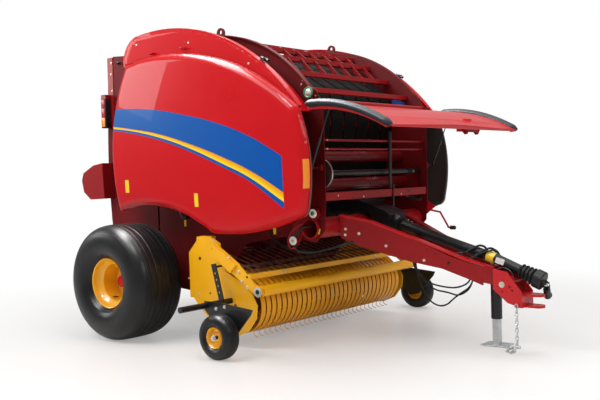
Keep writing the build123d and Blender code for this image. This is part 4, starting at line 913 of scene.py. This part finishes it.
def makeBearing(side, s):
    sign = sides[side]
    bm = bmesh.new()
    for material, profile in enumerate((s["ring"], s["cap"])):
        addLathe(bm, [(a * sign, r) for a, r in profile], pt(s["x"], sign * s["y"], s["z"]), steps=40,
                 material=material)
    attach(bmObject(f"bearing_cap_{side}", bm, "sealGreen zinc"), "frame")
    places = aimed((0, sign, 0), *[(x, sign * s["boltY"], z) for x, z in s["bolts"]])
    bolts(f"bearing_bolts_{side}", "frame", places, head=6, height=5, washer=9)


for side in sides:
    makeBearing(side, bearingSet)

# hood: rubber seals and the catch
hoodSet = {
    "arc": ((1972, 1992), (2360, 1955), (2752, 1790)), "half": 1018, "out": 8, "seal": 30, "drop": 2,
    "steps": 20, "cheek": [(2600, 1842), (2672, 1838), (2684, 1776), (2668, 1744), (2640, 1742),
                           (2618, 1770)],
}


def hoodLine(s, count=26):
    # a quadratic curve through the arc's three points
    a, m, b = (np.array((x, z + s["drop"])) for x, z in s["arc"])
    pull = 2 * m - (a + b) / 2
    shares = [k / count for k in range(count + 1)]
    return [(1 - t) ** 2 * a + 2 * t * (1 - t) * pull + t * t * b for t in shares]


def makeSeals(s):
    bm = bmesh.new()
    line = hoodLine(s)
    for sign in (-1, 1):
        rings = []
        for i, (x, z) in enumerate(line):
            x0, z0 = line[max(i - 1, 0)]
            x1, z1 = line[min(i + 1, len(line) - 1)]
            across = Vector((0, sign, 0))
            up = across.cross(Vector((x1 - x0, 0, z1 - z0)).normalized())
            radius = s["seal"] * (0.55 if i in (0, len(line) - 1) else 1)
            ring = []
            for t in (2 * math.pi * k / s["steps"] for k in range(s["steps"])):
                wide = radius * (1 + 0.35 * abs(math.cos(t)) ** 3)
                away = across * math.cos(t) * wide + up * math.sin(t) * radius
                ring.append(bm.verts.new(pt(x, sign * (s["half"] + s["out"]), z) + away / 1000))
            rings.append(ring)
        bridge(bm, rings)
    seal = bmObject("hood_seals_round", bm, "sealRubber", angle=60)
    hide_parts("hood_seals")
    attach(seal, "hood")


makeSeals(hoodSet)
bm = bmesh.new()
for y in (262, 452):   # the catch under the hood: two cheeks and a shelf
    addPlate(bm, hoodSet["cheek"], y - 2, y + 2, 0.8)
addBlock(bm, (2602, 262, 1832), (2670, 452, 1836), 1.0)
addBlock(bm, (2672, 262, 1760), (2676, 452, 1836), 1.0)
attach(bmObject("hood_latch", bm, "frameRed"), "hood")
print("hood details made")

# pickup reel: four tine bars round a drum, with round-wire tines that hang back and curve forward
reelSet = {
    "axle": (1205, 0, 355), "bars": 4, "first": 45, "barAt": 128, "bar": 13, "drum": 70, "shaft": 22,
    "spoke": 9, "half": 1038, "end": 1100, "stars": (-998, 0, 998), "pitch": 67, "tines": 30, "wire": 3.2,
    "coil": 17, "coilTurns": 2.5, "coilSteps": 12, "coilWidth": 12,
    "tine": [(150, -7), (180, -14), (235, -22), (262, -26.5), (280, -23.5), (294, -19)],   # radius, angle on
}


def tineTree():
    # one tine repeated along its bar, and that row repeated round the axle
    tree, first = newTree("tineRows", {"wireRadius": "Float", "pitch": "Float", "start": "Float",
                                       "step": "Float", "tines": "Int", "bars": "Int", "axle": "Vector",
                                       "metal": "Material"})
    ring = addNode(tree, "GeometryNodeCurvePrimitiveCircle", {"Resolution": 7,
                                                              "Radius": first["wireRadius"]}).outputs[0]
    wire = addNode(tree, "GeometryNodeCurveToMesh", {"Curve": first["Geometry"], "Profile Curve": ring,
                                                     "Fill Caps": True}).outputs[0]
    apart = addNode(tree, "ShaderNodeCombineXYZ", {"Y": first["pitch"]}).outputs[0]
    begin = addNode(tree, "ShaderNodeCombineXYZ", {"Y": first["start"]}).outputs[0]
    lane = addNode(tree, "GeometryNodeMeshLine", {"Count": first["tines"], "Start Location": begin,
                                                  "Offset": apart}).outputs[0]
    row = addNode(tree, "GeometryNodeInstanceOnPoints", {"Points": lane, "Instance": wire}).outputs[0]
    spots = addNode(tree, "GeometryNodeMeshLine", {"Count": first["bars"], "Offset": (0, 0, 0)}).outputs[0]
    angle = maths(tree, "MULTIPLY", tree.nodes.new("GeometryNodeInputIndex").outputs[0], first["step"])
    turn = addNode(tree, "ShaderNodeCombineXYZ", {"Y": angle}).outputs[0]
    rows = addNode(tree, "GeometryNodeInstanceOnPoints", {"Points": spots, "Instance": row,
                                                          "Rotation": turn}).outputs[0]
    moved = addNode(tree, "GeometryNodeTransform", {"Geometry": rows,
                                                    "Translation": first["axle"]}).outputs[0]
    return endTree(tree, moved, first["metal"])


def makeReel(s):
    x, _, z = s["axle"]
    bm = bmesh.new()
    addRod(bm, (x, -s["half"], z), (x, s["half"], z), s["drum"], steps=40, tip=4)
    addRod(bm, (x, -s["end"], z), (x, s["end"], z), s["shaft"], steps=24)
    for k in range(s["bars"]):
        t = math.radians(-s["first"] - 360 / s["bars"] * k)
        bx, bz = x + s["barAt"] * math.cos(t), z + s["barAt"] * math.sin(t)
        addRod(bm, (bx, -s["half"], bz), (bx, s["half"], bz), s["bar"])
        for y in s["stars"]:
            addRod(bm, (x, y, z), (bx, y, bz), s["spoke"], steps=12)
    body = bmObject("reel_bars", bm, "rustyRod")
    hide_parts("reel")
    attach(body, "reel")
    # one tine, drawn round the axle and repeated along each bar
    t0 = math.radians(-s["first"])
    bx, bz = s["barAt"] * math.cos(t0), s["barAt"] * math.sin(t0)
    points = []
    turns = int(s["coilTurns"] * s["coilSteps"])
    for k in range(turns + 1):
        t = t0 + math.pi * 0.5 - 2 * math.pi * k / s["coilSteps"]
        points.append((bx + s["coil"] * math.cos(t), s["coilWidth"] * (k / turns - 1),
                       bz + s["coil"] * math.sin(t)))
    for r, a in s["tine"]:
        t = t0 + math.radians(a)
        points.append((r * math.cos(t), 0, r * math.sin(t)))
    curve = bpy.data.curves.new("tineWire", "CURVE")
    curve.dimensions = "3D"
    spline = curve.splines.new("POLY")
    spline.points.add(len(points) - 1)
    for p, q in zip(spline.points, points):
        p.co = (q[0] / 1000, q[1] / 1000, q[2] / 1000, 1)
    tines = placed("reel_tines", curve)
    useTree(tines, tineTree(), {"wireRadius": s["wire"] / 1000, "pitch": s["pitch"] / 1000,
                                "tines": s["tines"], "start": -(s["tines"] - 1) / 2 * s["pitch"] / 1000,
                                "bars": s["bars"], "step": 2 * math.pi / s["bars"], "axle": pt(*s["axle"]),
                                "metal": mats["springSteel"]})
    mesh = evaluated(tines)
    bpy.data.objects.remove(tines)
    mesh.shade_smooth()
    mesh.set_sharp_from_angle(angle=math.radians(70))
    piece = placed("reel_tine_rows", mesh)
    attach(piece, "reel")


makeReel(reelSet)
print("reel and tines made")


def holes(name, body, places):
    # round holes shown as thin black discs just proud of a face: painted shade standing in for the shade
    # inside each hole
    bm = bmesh.new()
    for x, y, z, radius, aim in places:
        addLathe(bm, [(-1, 0.01), (-1, radius), (0.3, radius), (0.3, 0.01)], pt(x, y, z), axis=aim, steps=20)
    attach(bmObject(name, bm, "blackPlastic"), body)


def discs(name, body, finish, places, steps=40):
    # turned pieces: a centre, an axis and (along, radius, material) rings
    bm = bmesh.new()
    for centre, aim, profile, material in places:
        addLathe(bm, profile, pt(*centre), axis=aim, steps=steps, material=material)
    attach(bmObject(name, bm, finish), body)


webOut = (0.35, -0.94, 0)     # outward across the right tongue beam
right, front = (0, -1, 0), (1, 0, 0)
# the holes laid below are black discs of painted shade
bolts("tongue_bolts", "frame", aimed(webOut, (2249, -383, 838), (2542, -275, 722), (1929, -502, 978),
                                     (1925, -503, 930), (2036, -462, 940)), head=8, height=4, washer=12)
holes("tongue_holes", "frame", aimed(webOut, (2727, -206, 701, 12), (2563, -267, 806, 6),
                                     (2625, -244, 776, 6), (2143, -422, 873, 5), (2183, -408, 869, 5),
                                     (2292, -367, 862, 6))
      + aimed(right, (3040, -90.3, 554, 7)))
bolts("hitch_bolt", "frame", aimed(right, (3135, -104, 540)), head=13, height=12, washer=24)
holes("hitch_holes", "frame", aimed(right, (3202, -104, 527, 7), (3142, -104, 486, 6), (3150, -104, 580, 5),
                                    (3222, -104, 499, 7)))
bolts("pickup_bolts", "pickup", aimed(right, (971, -1095, 909), (823, -1095, 300), (760, -1095, 430),
                                      (1290, -1095, 240), (1120, -1095, 150), (640, -1089, 560)),
      head=7, height=5, washer=10, finish="zinc")
holes("pickup_holes", "pickup", aimed(right, (792, -1095, 741, 15), (906, -1095, 446, 9)))
bolts("guard_bolts", "wind_guard", aimed(right, (1302, -1145, 657), (1334, -1145, 578), (1392, -1145, 533))
      + aimed((0.54, 0, 0.84), (1197, -1158, 772)) + aimed(front, (1425, -718, 620), (1425, 645, 620)),
      head=9, height=6, washer=13, finish="zinc")
holes("guard_holes", "wind_guard", aimed(right, (1392, -1145, 618, 11)))
bolts("gauge_bolt", "pickup", aimed(right, (1265, -1382, 382), (1361, -1382, 405)),
      head=12, height=7, washer=15)
for side, sign in sides.items():
    middle, aim = (1520, sign * 1161, 505), (0, sign, 0)
    discs(f"roller_caps_{side}", "wind_guard", "zinc blackPaint",
          [(middle, aim, [(0, 20), (0, 41), (2.2, 41), (3.2, 38), (3.2, 20)], 0),
           (middle, aim, [(0, 0.01), (0, 20), (6, 19), (7, 12), (4, 10), (4, 0.01)], 1)])

# guide discs on the bent bracket, with the blank plates and cables near them
discWhite = [(-1, 12), (-1, 34), (1, 36.4), (7, 36.4), (9, 34), (9.5, 12)]
discBrass = [(0, 0.01), (0, 12), (13, 11), (14, 0.01)]
discs("guide_discs", "frame", "whitePlastic brass sealGreen",
      [((x, -851, z), right, profile, material) for x, z in ((1650, 900), (1867, 1127))
       for profile, material in ((discWhite, 0), (discBrass, 1))]
      + [((1867, -851, 1127), right, [(9, 13), (10.4, 13), (10.4, 18), (9, 18)], 2)])
plate("bracket_plate", "frame", "plateYellow",
      ((1881.6, -790, 976), (0.96, 0, -0.29), (0.29, 0, 0.96)), 26, 44)
for k, (x, z, w, h) in enumerate(((1393, 973, 30, 62), (286, 1018, 26, 60))):
    plate(f"sheet_plate_{k}", "frame", "plateYellow", ((x, -788.3, z), right, (0, 0, 1)), w, h)
plate("crank_plate", "frame", "plateYellow", ((1912, 787.2, 1098), right, (0.5, 0, 0.86)), 24, 66)
plate("far_plate", "frame", "plateBlue", ((1651, 779.6, 2103), right, (0.27, 0, 0.96)), 150, 40)
plate("pickup_plate", "pickup", "yellowPaint", ((672, -1089.6, 735), right, (0, 0, 1)), 44, 96)
cableRoutes = {   # route points and radius in working millimetres, finish
    "cable_black": ([(1800, -800, 1020), (1712, -822, 1010), (1634, -836, 866), (1650, -800, 806),
                     (1730, -700, 790), (1900, -560, 840), (1990, -470, 872)], 11, "hoseRubber"),
    "cable_thin": ([(1338, -800, 985), (1372, -812, 920), (1470, -815, 868), (1600, -800, 815),
                    (1760, -680, 800)], 7, "hoseRubber"),
    "cable_red": ([(1740, -822, 1042), (1650, -852, 1000), (1592, -858, 900), (1618, -850, 830),
                   (1655, -834, 842)], 7, "frameRed"),
}
for name, (points, radius, finish) in cableRoutes.items():
    bm = bmesh.new()
    roundedTube(bm, points, radius)
    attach(bmObject(name, bm, finish, angle=60), "frame")

# net compartment: black tube with its brake disc, brass cone and end fitting
netSet = {"axis": (1860, 0, 1445), "out": 779.7}


def makeNetTube(s):
    x, _, z = s["axis"]
    end = s["out"]
    rows = [  # (Y, radius) outlines and material
        ([(-end, 0.01), (-end, 18), (-645, 18), (-645, 0.01)], 0),
        ([(45 - end, 18), (45 - end, 119), (57 - end, 119), (57 - end, 18)], 2),
        ([(44.5 - end, 119), (44.5 - end, 124.5), (57.3 - end, 124.5), (57.3 - end, 119)], 3),
        ([(57 - end, 18), (57 - end, 30), (-662, 30), (-662, 18)], 0),
        ([(-662, 18), (-662, 42), (-644, 42), (-618, 27), (-600, 27), (-600, 18)], 1),
        ([(-600, 18), (-600, 25), (560, 25), (560, 29), (582, 29), (588, 25), (640, 25), (640, 18)], 0),
        ([(640, 12), (640, 21), (668, 21), (672, 15), (684, 15), (684, 12)], 1),
        ([(684, 12), (684, 27), (729, 27), (729, 18), (end, 18), (end, 12)], 0)]
    bm = bmesh.new()
    for profile, material in rows:
        addLathe(bm, profile, pt(x, 0, z), steps=64, material=material)
    tube = bmObject("net_tube_turned", bm, "blackPaint brass brakeBrown zinc")
    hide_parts("net_tube")
    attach(tube, "frame")


makeNetTube(netSet)
bm = bmesh.new()
for low, high, lean in (((1917, 182, 1300), (1929, 218, 1799), -2),
                        ((1944, 194, 1082), (1951, 214, 1330), -3)):
    addBlock(bm, low, high, 2, turn=Matrix.Rotation(math.radians(lean), 3, "X"))
lever = bmObject("front_lever_bent", bm, "blackPaint")
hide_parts("front_lever")
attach(lever, "frame")
bm = bmesh.new()
# two thin black blocks on the beam's front face: painted shade standing in for the shade in its slots
addBlock(bm, (1941.6, 448, 1260), (1942.6, 512, 1273), 0.3)
addBlock(bm, (1941.6, -420, 1236), (1942.6, -396, 1246), 0.3)
addRod(bm, (1800, 640, 1196), (1930, 700, 1180), 17)
roundedTube(bm, [(1845, -640, 1500), (1800, -600, 1545), (1760, -560, 1600)], 13)
addRod(bm, (1850, -655, 1500), (1850, -625, 1500), 24)
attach(bmObject("net_fittings", bm, "blackPaint"), "frame")
bolts("beam_bolts", "frame", aimed(front, (1942, -610, 1262), (1942, 339, 1240), (1942, -250, 1240),
                                   (1913, -700, 1645), (1913, -700, 1718)), head=6, height=4, washer=9)


def ribTree():
    # a spiral rib along Y
    tree, first = newTree("spiralRib", {"turns": "Float", "radius": "Float", "length": "Float",
                                        "ribHeight": "Float", "place": "Vector", "paint": "Material"})
    coil = addNode(tree, "GeometryNodeCurveSpiral", {"Resolution": 26, "Rotations": first["turns"],
                                                     "Start Radius": first["radius"],
                                                     "End Radius": first["radius"],
                                                     "Height": first["length"]}).outputs[0]
    ring = addNode(tree, "GeometryNodeCurvePrimitiveCircle", {"Resolution": 5,
                                                              "Radius": first["ribHeight"]}).outputs[0]
    rib = addNode(tree, "GeometryNodeCurveToMesh", {"Curve": coil, "Profile Curve": ring,
                                                    "Fill Caps": True}).outputs[0]
    laid = addNode(tree, "GeometryNodeTransform", {"Geometry": rib, "Rotation": (math.pi / 2, 0, 0),
                                                   "Translation": first["place"]}).outputs[0]
    return endTree(tree, laid, first["paint"])


spiral = ribTree()
ribSet = {   # spiral ribs on the two feed rolls: x, from and to in Y, z, roll radius, turns
    "upper_end": (1640, -740, -610, 1590, 48, 4), "upper_middle": (1640, 60, 220, 1590, 48, 5),
    "lower_end": (1690, -740, -590, 1350, 52, 5), "lower_middle": (1690, 120, 330, 1350, 52, 7),
}
for key, (x, low, high, z, radius, turns) in ribSet.items():
    rib = placed(f"roll_rib_{key}", bpy.data.meshes.new(f"roll_rib_{key}"))
    useTree(rib, spiral, {"turns": float(turns), "radius": radius / 1000, "length": (high - low) / 1000,
                          "ribHeight": 0.004, "place": pt(x, high, z), "paint": mats["rollRed"]})
    bakeModifiers(rib)
    rib.data.shade_smooth()
    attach(rib, "frame")
print("net compartment made")

# driveline: plain guard tube, yellow warning section, ribbed bellows and yoke
shaftSet = {"start": (2090, 1008), "slope": 16.3, "from": 2140, "yellow": (2966, 3040), "bendSlope": 22,
            "bellows": 3258, "rings": 4, "pitch": 30}


def makeDriveline(s):
    slope = math.radians(s["slope"])
    ahead = Vector((math.cos(slope), 0, -math.sin(slope)))

    def on(x):
        return (x - s["start"][0]) / math.cos(slope)

    low, high = s["yellow"]
    tube = [(on(s["from"]), 0.01), (on(s["from"]), 43), (on(2500), 43), (on(2504), 41.5), (on(low) - 6, 41.5),
            (on(low), 45), (on(low) + 2, 45), (on(low) + 2, 0.01)]
    band = [(on(low), 0.01), (on(low), 43), (on(high), 43), (on(high), 0.01)]
    bend = math.radians(s["bendSlope"])
    down = Vector((math.cos(bend), 0, -math.sin(bend)))

    def past(x):
        return (x - high) / math.cos(bend)

    rear = [(-6, 0.01), (-6, 43.5), (past(high + 24), 41), (past(s["bellows"]) - 16, 41)]
    for i in range(s["rings"]):
        a, r = past(s["bellows"] + s["pitch"] * i), 60 + 3 * i
        rear += [(a - 9, r - 13), (a - 4, r - 2), (a, r), (a + 5, r - 2), (a + 10, r - 13)]
    rear += [(past(3368), 60), (past(3372), 74), (past(3428), 74), (past(3433), 66), (past(3435), 0.01)]
    bm = bmesh.new()
    for profile, material in ((tube, 0), (band, 1)):
        addLathe(bm, profile, pt(s["start"][0], 0, s["start"][1]), axis=ahead, start=(0, 1, 0), steps=48,
                 material=material)
    bent = pt(high, 0, s["start"][1] - (high - s["start"][0]) * math.tan(slope))
    addLathe(bm, rear, bent, axis=down, start=(0, 1, 0), steps=48)
    # the joint at its end hangs folded beside the hitch: ears, cross, and the lower yoke with its collar
    for y in (-22, 30):
        addRod(bm, (3418, y, 578), (3458, y + 8, 550), 13, steps=14, material=2)
    addRod(bm, (3454, -24, 548), (3454, 48, 548), 10, steps=14, material=3)
    addRod(bm, (3434, 12, 553), (3474, 12, 541), 9, steps=14, material=3)
    for x in (3436, 3468):
        addRod(bm, (x, 12, 549), (x - 10, 36, 498), 11, steps=14, material=2)
    addRod(bm, (3442, 34, 514), (3424, 96, 436), 28, steps=32, tip=8, material=2)
    addRod(bm, (3428, 84, 464), (3424, 97, 446), 33, steps=32, tip=5, material=2)
    shaft = bmObject("driveline_turned", bm, "blackPlastic plateYellow blackPaint zinc", angle=30)
    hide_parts("pto_shaft")
    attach(shaft, "frame")
    face = ((3092, -42.5, 716), (0.04, -1, 0.1), (0.28, 0, 0.96))
    plate("driveline_tag", "frame", "whitePlastic", face, 74, 46)


makeDriveline(shaftSet)
leadRoutes = [
    ([(2640, -90, 772), (2700, -78, 762), (2790, -66, 772), (2862, -50, 808), (2902, -20, 836),
      (2930, 25, 822), (2945, 60, 770), (2940, 80, 700)], 9),
    ([(2780, -130, 700), (2826, -92, 712), (2900, -62, 762), (2962, -48, 800), (3000, -10, 818),
      (3040, 40, 780), (3048, 60, 720)], 9),
    ([(2790, -128, 690), (2850, -88, 716), (2925, -60, 772), (2990, -46, 792), (3022, 0, 800),
      (3050, 46, 740)], 7),
    ([(3052, -92, 600), (3068, -84, 640), (3104, -64, 668), (3150, -50, 664), (3196, -62, 640),
      (3216, -70, 600)], 7),
]
bm = bmesh.new()
for points, radius in leadRoutes:
    roundedTube(bm, points, radius)
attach(bmObject("driveline_leads", bm, "hoseRubber", angle=60), "frame")

# the right beam's web runs on to the hitch cheek
bm = bmesh.new()
web = [(2956, -119.5, 553), (3062, -90.5, 531), (3062, -90.5, 668), (2956, -119.5, 708)]
bridge(bm, [[bm.verts.new(pt(x, y + inward, z)) for x, y, z in web] for inward in (0, 9)])
bmesh.ops.bevel(bm, geom=list(bm.edges), offset=0.0015, segments=2, affect="EDGES", profile=0.6)
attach(bmObject("tongue_end_web", bm, "frameRed"), "frame")

# painted light: a face in the brighter hood red laid on top of the right beam's flange, standing in for the
# light from above on the beam's own paint
beamSet = {"line": [(1880, 1100), (2120, 1045), (2530, 875), (2820, 745), (3046, 669)], "rear": (1880, -520),
           "nose": (3040, -90), "width": 58, "lift": 1.0}
bm = bmesh.new()
section = [(-0.6, -14), (-0.6, beamSet["lift"]), (beamSet["width"], beamSet["lift"]),
           (beamSet["width"], -0.5), (0, -0.5), (0, -14)]
rows = []
for x, z in beamSet["line"]:
    y = float(np.interp(x, *zip(beamSet["rear"], beamSet["nose"])))
    rows.append([bm.verts.new(pt(x, y + a, z + b)) for a, b in section])
bridge(bm, rows)
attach(bmObject("tongue_flange_painted_light", bm, "hoodRed", angle=30), "frame")

# hose couplers resting in the rack
rackSet = {"first": (2020, 293, 1031), "step": (44.3, -9.5, -18.4), "filled": 4}
bm = bmesh.new()
for k in range(rackSet["filled"]):
    x, y, z = (a + b * k for a, b in zip(rackSet["first"], rackSet["step"]))
    addRod(bm, (x - 2, y - 34, z + 4), (x + 4, y + 30, z - 2), 13)
    addRod(bm, (x - 6, y - 62, z + 8), (x - 2, y - 30, z + 4), 10)
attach(bmObject("hose_couplers", bm, "chrome"), "frame")
bm = bmesh.new()
addRod(bm, (2138, 870, 902), (2191.5, 870, 900), 19)
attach(bmObject("crank_grip", bm, "blackPlastic"), "frame")

# tail: lenses, bolts and the catch on the rear sheets
tailSet = {
    "bolts": [(-717, 2607), (-723, 2494), (-717, 2330)], "boltY": 794,
    "box": ((-812, 799, 1958), (-738, 866, 2252)),
    "lenses": [(1972, 2060, 2), (2066, 2154, 1), (2160, 2240, 1)],   # from and to in Z, material
    "catch": ((-595, 789, 2595), (-595, 822, 2590)), "catchRadius": 15,
}


def makeTailDetails(side, s):
    sign = sides[side]
    places = aimed((0, sign, 0), *[(x, sign * s["boltY"], z) for x, z in s["bolts"]])
    bolts(f"tail_bolts_{side}", "tailgate", places, head=5, height=4, washer=8)
    bm = bmesh.new()
    addBlock(bm, *[(x, sign * y, z) for x, y, z in s["box"]], 6)
    for low, high, material in s["lenses"]:
        addBlock(bm, (-817, sign * 806, low), (-808, sign * 858, high), 3, material=material)
        addBlock(bm, (-800, sign * 862, low), (-752, sign * 869, high), 3, material=material)
    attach(bmObject(f"tail_lamp_{side}", bm, "blackPlastic lampRed lampOrange"), "tailgate")
    bm = bmesh.new()
    addRod(bm, *[(x, sign * y, z) for x, y, z in s["catch"]], s["catchRadius"])
    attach(bmObject(f"tail_catch_{side}", bm, "blackPlastic"), "tailgate")


for side in sides:
    makeTailDetails(side, tailSet)
print("tongue, driveline and tail details made")

# stage and light
stageSet = {"floorSize": 60, "floorColour": (0.90, 0.885, 0.86), "whiteFrom": 1.9, "whiteTo": 5.6,
            "whiteLeast": 0.3, "world": 0.42}


def makeStage(s):
    mesh = bpy.data.meshes.new("studioFloor")
    h = s["floorSize"] / 2
    mesh.from_pydata([(-h, -h, 0), (h, -h, 0), (h, h, 0), (-h, h, 0)], [], [(0, 1, 2, 3)])
    floor = placed("studioFloor", mesh)
    mat, tree, shader = newMaterial("studioFloor")
    where = addNode(tree, "ShaderNodeTexCoord").outputs["Object"]
    cloud = noise(tree, where, 0.6, 3)
    colour = ramp(tree, cloud, (0, shaded(s["floorColour"], 0.97)), (1, shaded(s["floorColour"], 1.03)))
    tree.links.new(colour, shader.inputs["Base Color"])
    shader.inputs["Roughness"].default_value = 0.3
    shader.inputs["Specular IOR Level"].default_value = 0.25
    reach = addNode(tree, "ShaderNodeVectorMath", {0: where}, operation="LENGTH").outputs["Value"]
    away = mapRange(tree, reach, s["whiteFrom"], s["whiteTo"], s["whiteLeast"],
                    interpolation_type="SMOOTHSTEP")
    seen = addNode(tree, "ShaderNodeLightPath").outputs["Is Camera Ray"]
    share = maths(tree, "MULTIPLY", away, seen)
    white = addNode(tree, "ShaderNodeEmission", {"Color": (1, 1, 1, 1), "Strength": 1.0}).outputs[0]
    blend = addNode(tree, "ShaderNodeMixShader", {0: share, 1: shader.outputs[0], 2: white})
    tree.links.new(blend.outputs[0], tree.nodes["Material Output"].inputs["Surface"])
    mesh.materials.append(mat)
    world = bpy.data.worlds.new("studio")
    world.use_nodes = True
    bpy.context.scene.world = world
    tree = world.node_tree
    tree.nodes.clear()
    seen = addNode(tree, "ShaderNodeLightPath").outputs["Is Camera Ray"]
    light, white = (addNode(tree, "ShaderNodeBackground",
                            {"Color": (1, 1, 1, 1), "Strength": power}).outputs[0]
                    for power in (s["world"], 1.0))
    mix = addNode(tree, "ShaderNodeMixShader", {0: seen, 1: light, 2: white})
    addNode(tree, "ShaderNodeOutputWorld", {"Surface": mix.outputs[0]})
    bpy.context.scene.view_settings.view_transform = "Standard"


def areaLight(name, place, target, size, power, turn=0, sheen=False):
    # a sheen lamp shows only as a highlight
    lamp = bpy.data.lights.new(name, "AREA")
    lamp.shape = "RECTANGLE"
    lamp.size, lamp.size_y = size
    lamp.energy = power
    obj = placed(name, lamp)
    aim = (Vector(target) - Vector(place)).to_track_quat("-Z", "Y").to_matrix()
    spun = aim @ Matrix.Rotation(math.radians(turn), 3, "Z")
    obj.matrix_world = Matrix.Translation(place) @ spun.to_4x4()
    obj.visible_diffuse = not sheen


lampSet = {   # place, target, size, power, turn about the beam, highlight only
    "keySoftbox": ((-1.4, -5.0, 5.9), (-0.4, -0.3, 1.3), (4.0, 2.2), 215),
    "patchSoftbox": ((-9.25, -5.38, 4.9), (-0.8, -0.9, 2.4), (3.9, 3.4), 300, -16),
    "frontSoftbox": ((6.5, -2.0, 4.6), (1.0, 0, 1.0), (2.6, 2.0), 95),
    "topSoftbox": ((0.5, 1.0, 6.5), (0.3, 0, 1), (6.0, 5.0), 330),
    "edgeSoftbox": ((-2.1, -1.5, 6.0), (0.3, -1.1, 2.4), (5.2, 2.2), 1350, 0, True),
    "cornerSoftbox": ((1.15, -3.3, 6.3), (0.65, -1.1, 1.9), (1.0, 1.0), 200, 0, True),
}
makeStage(stageSet)
for lampName, lamp in lampSet.items():
    areaLight(lampName, *lamp)
print("stage and light ready")
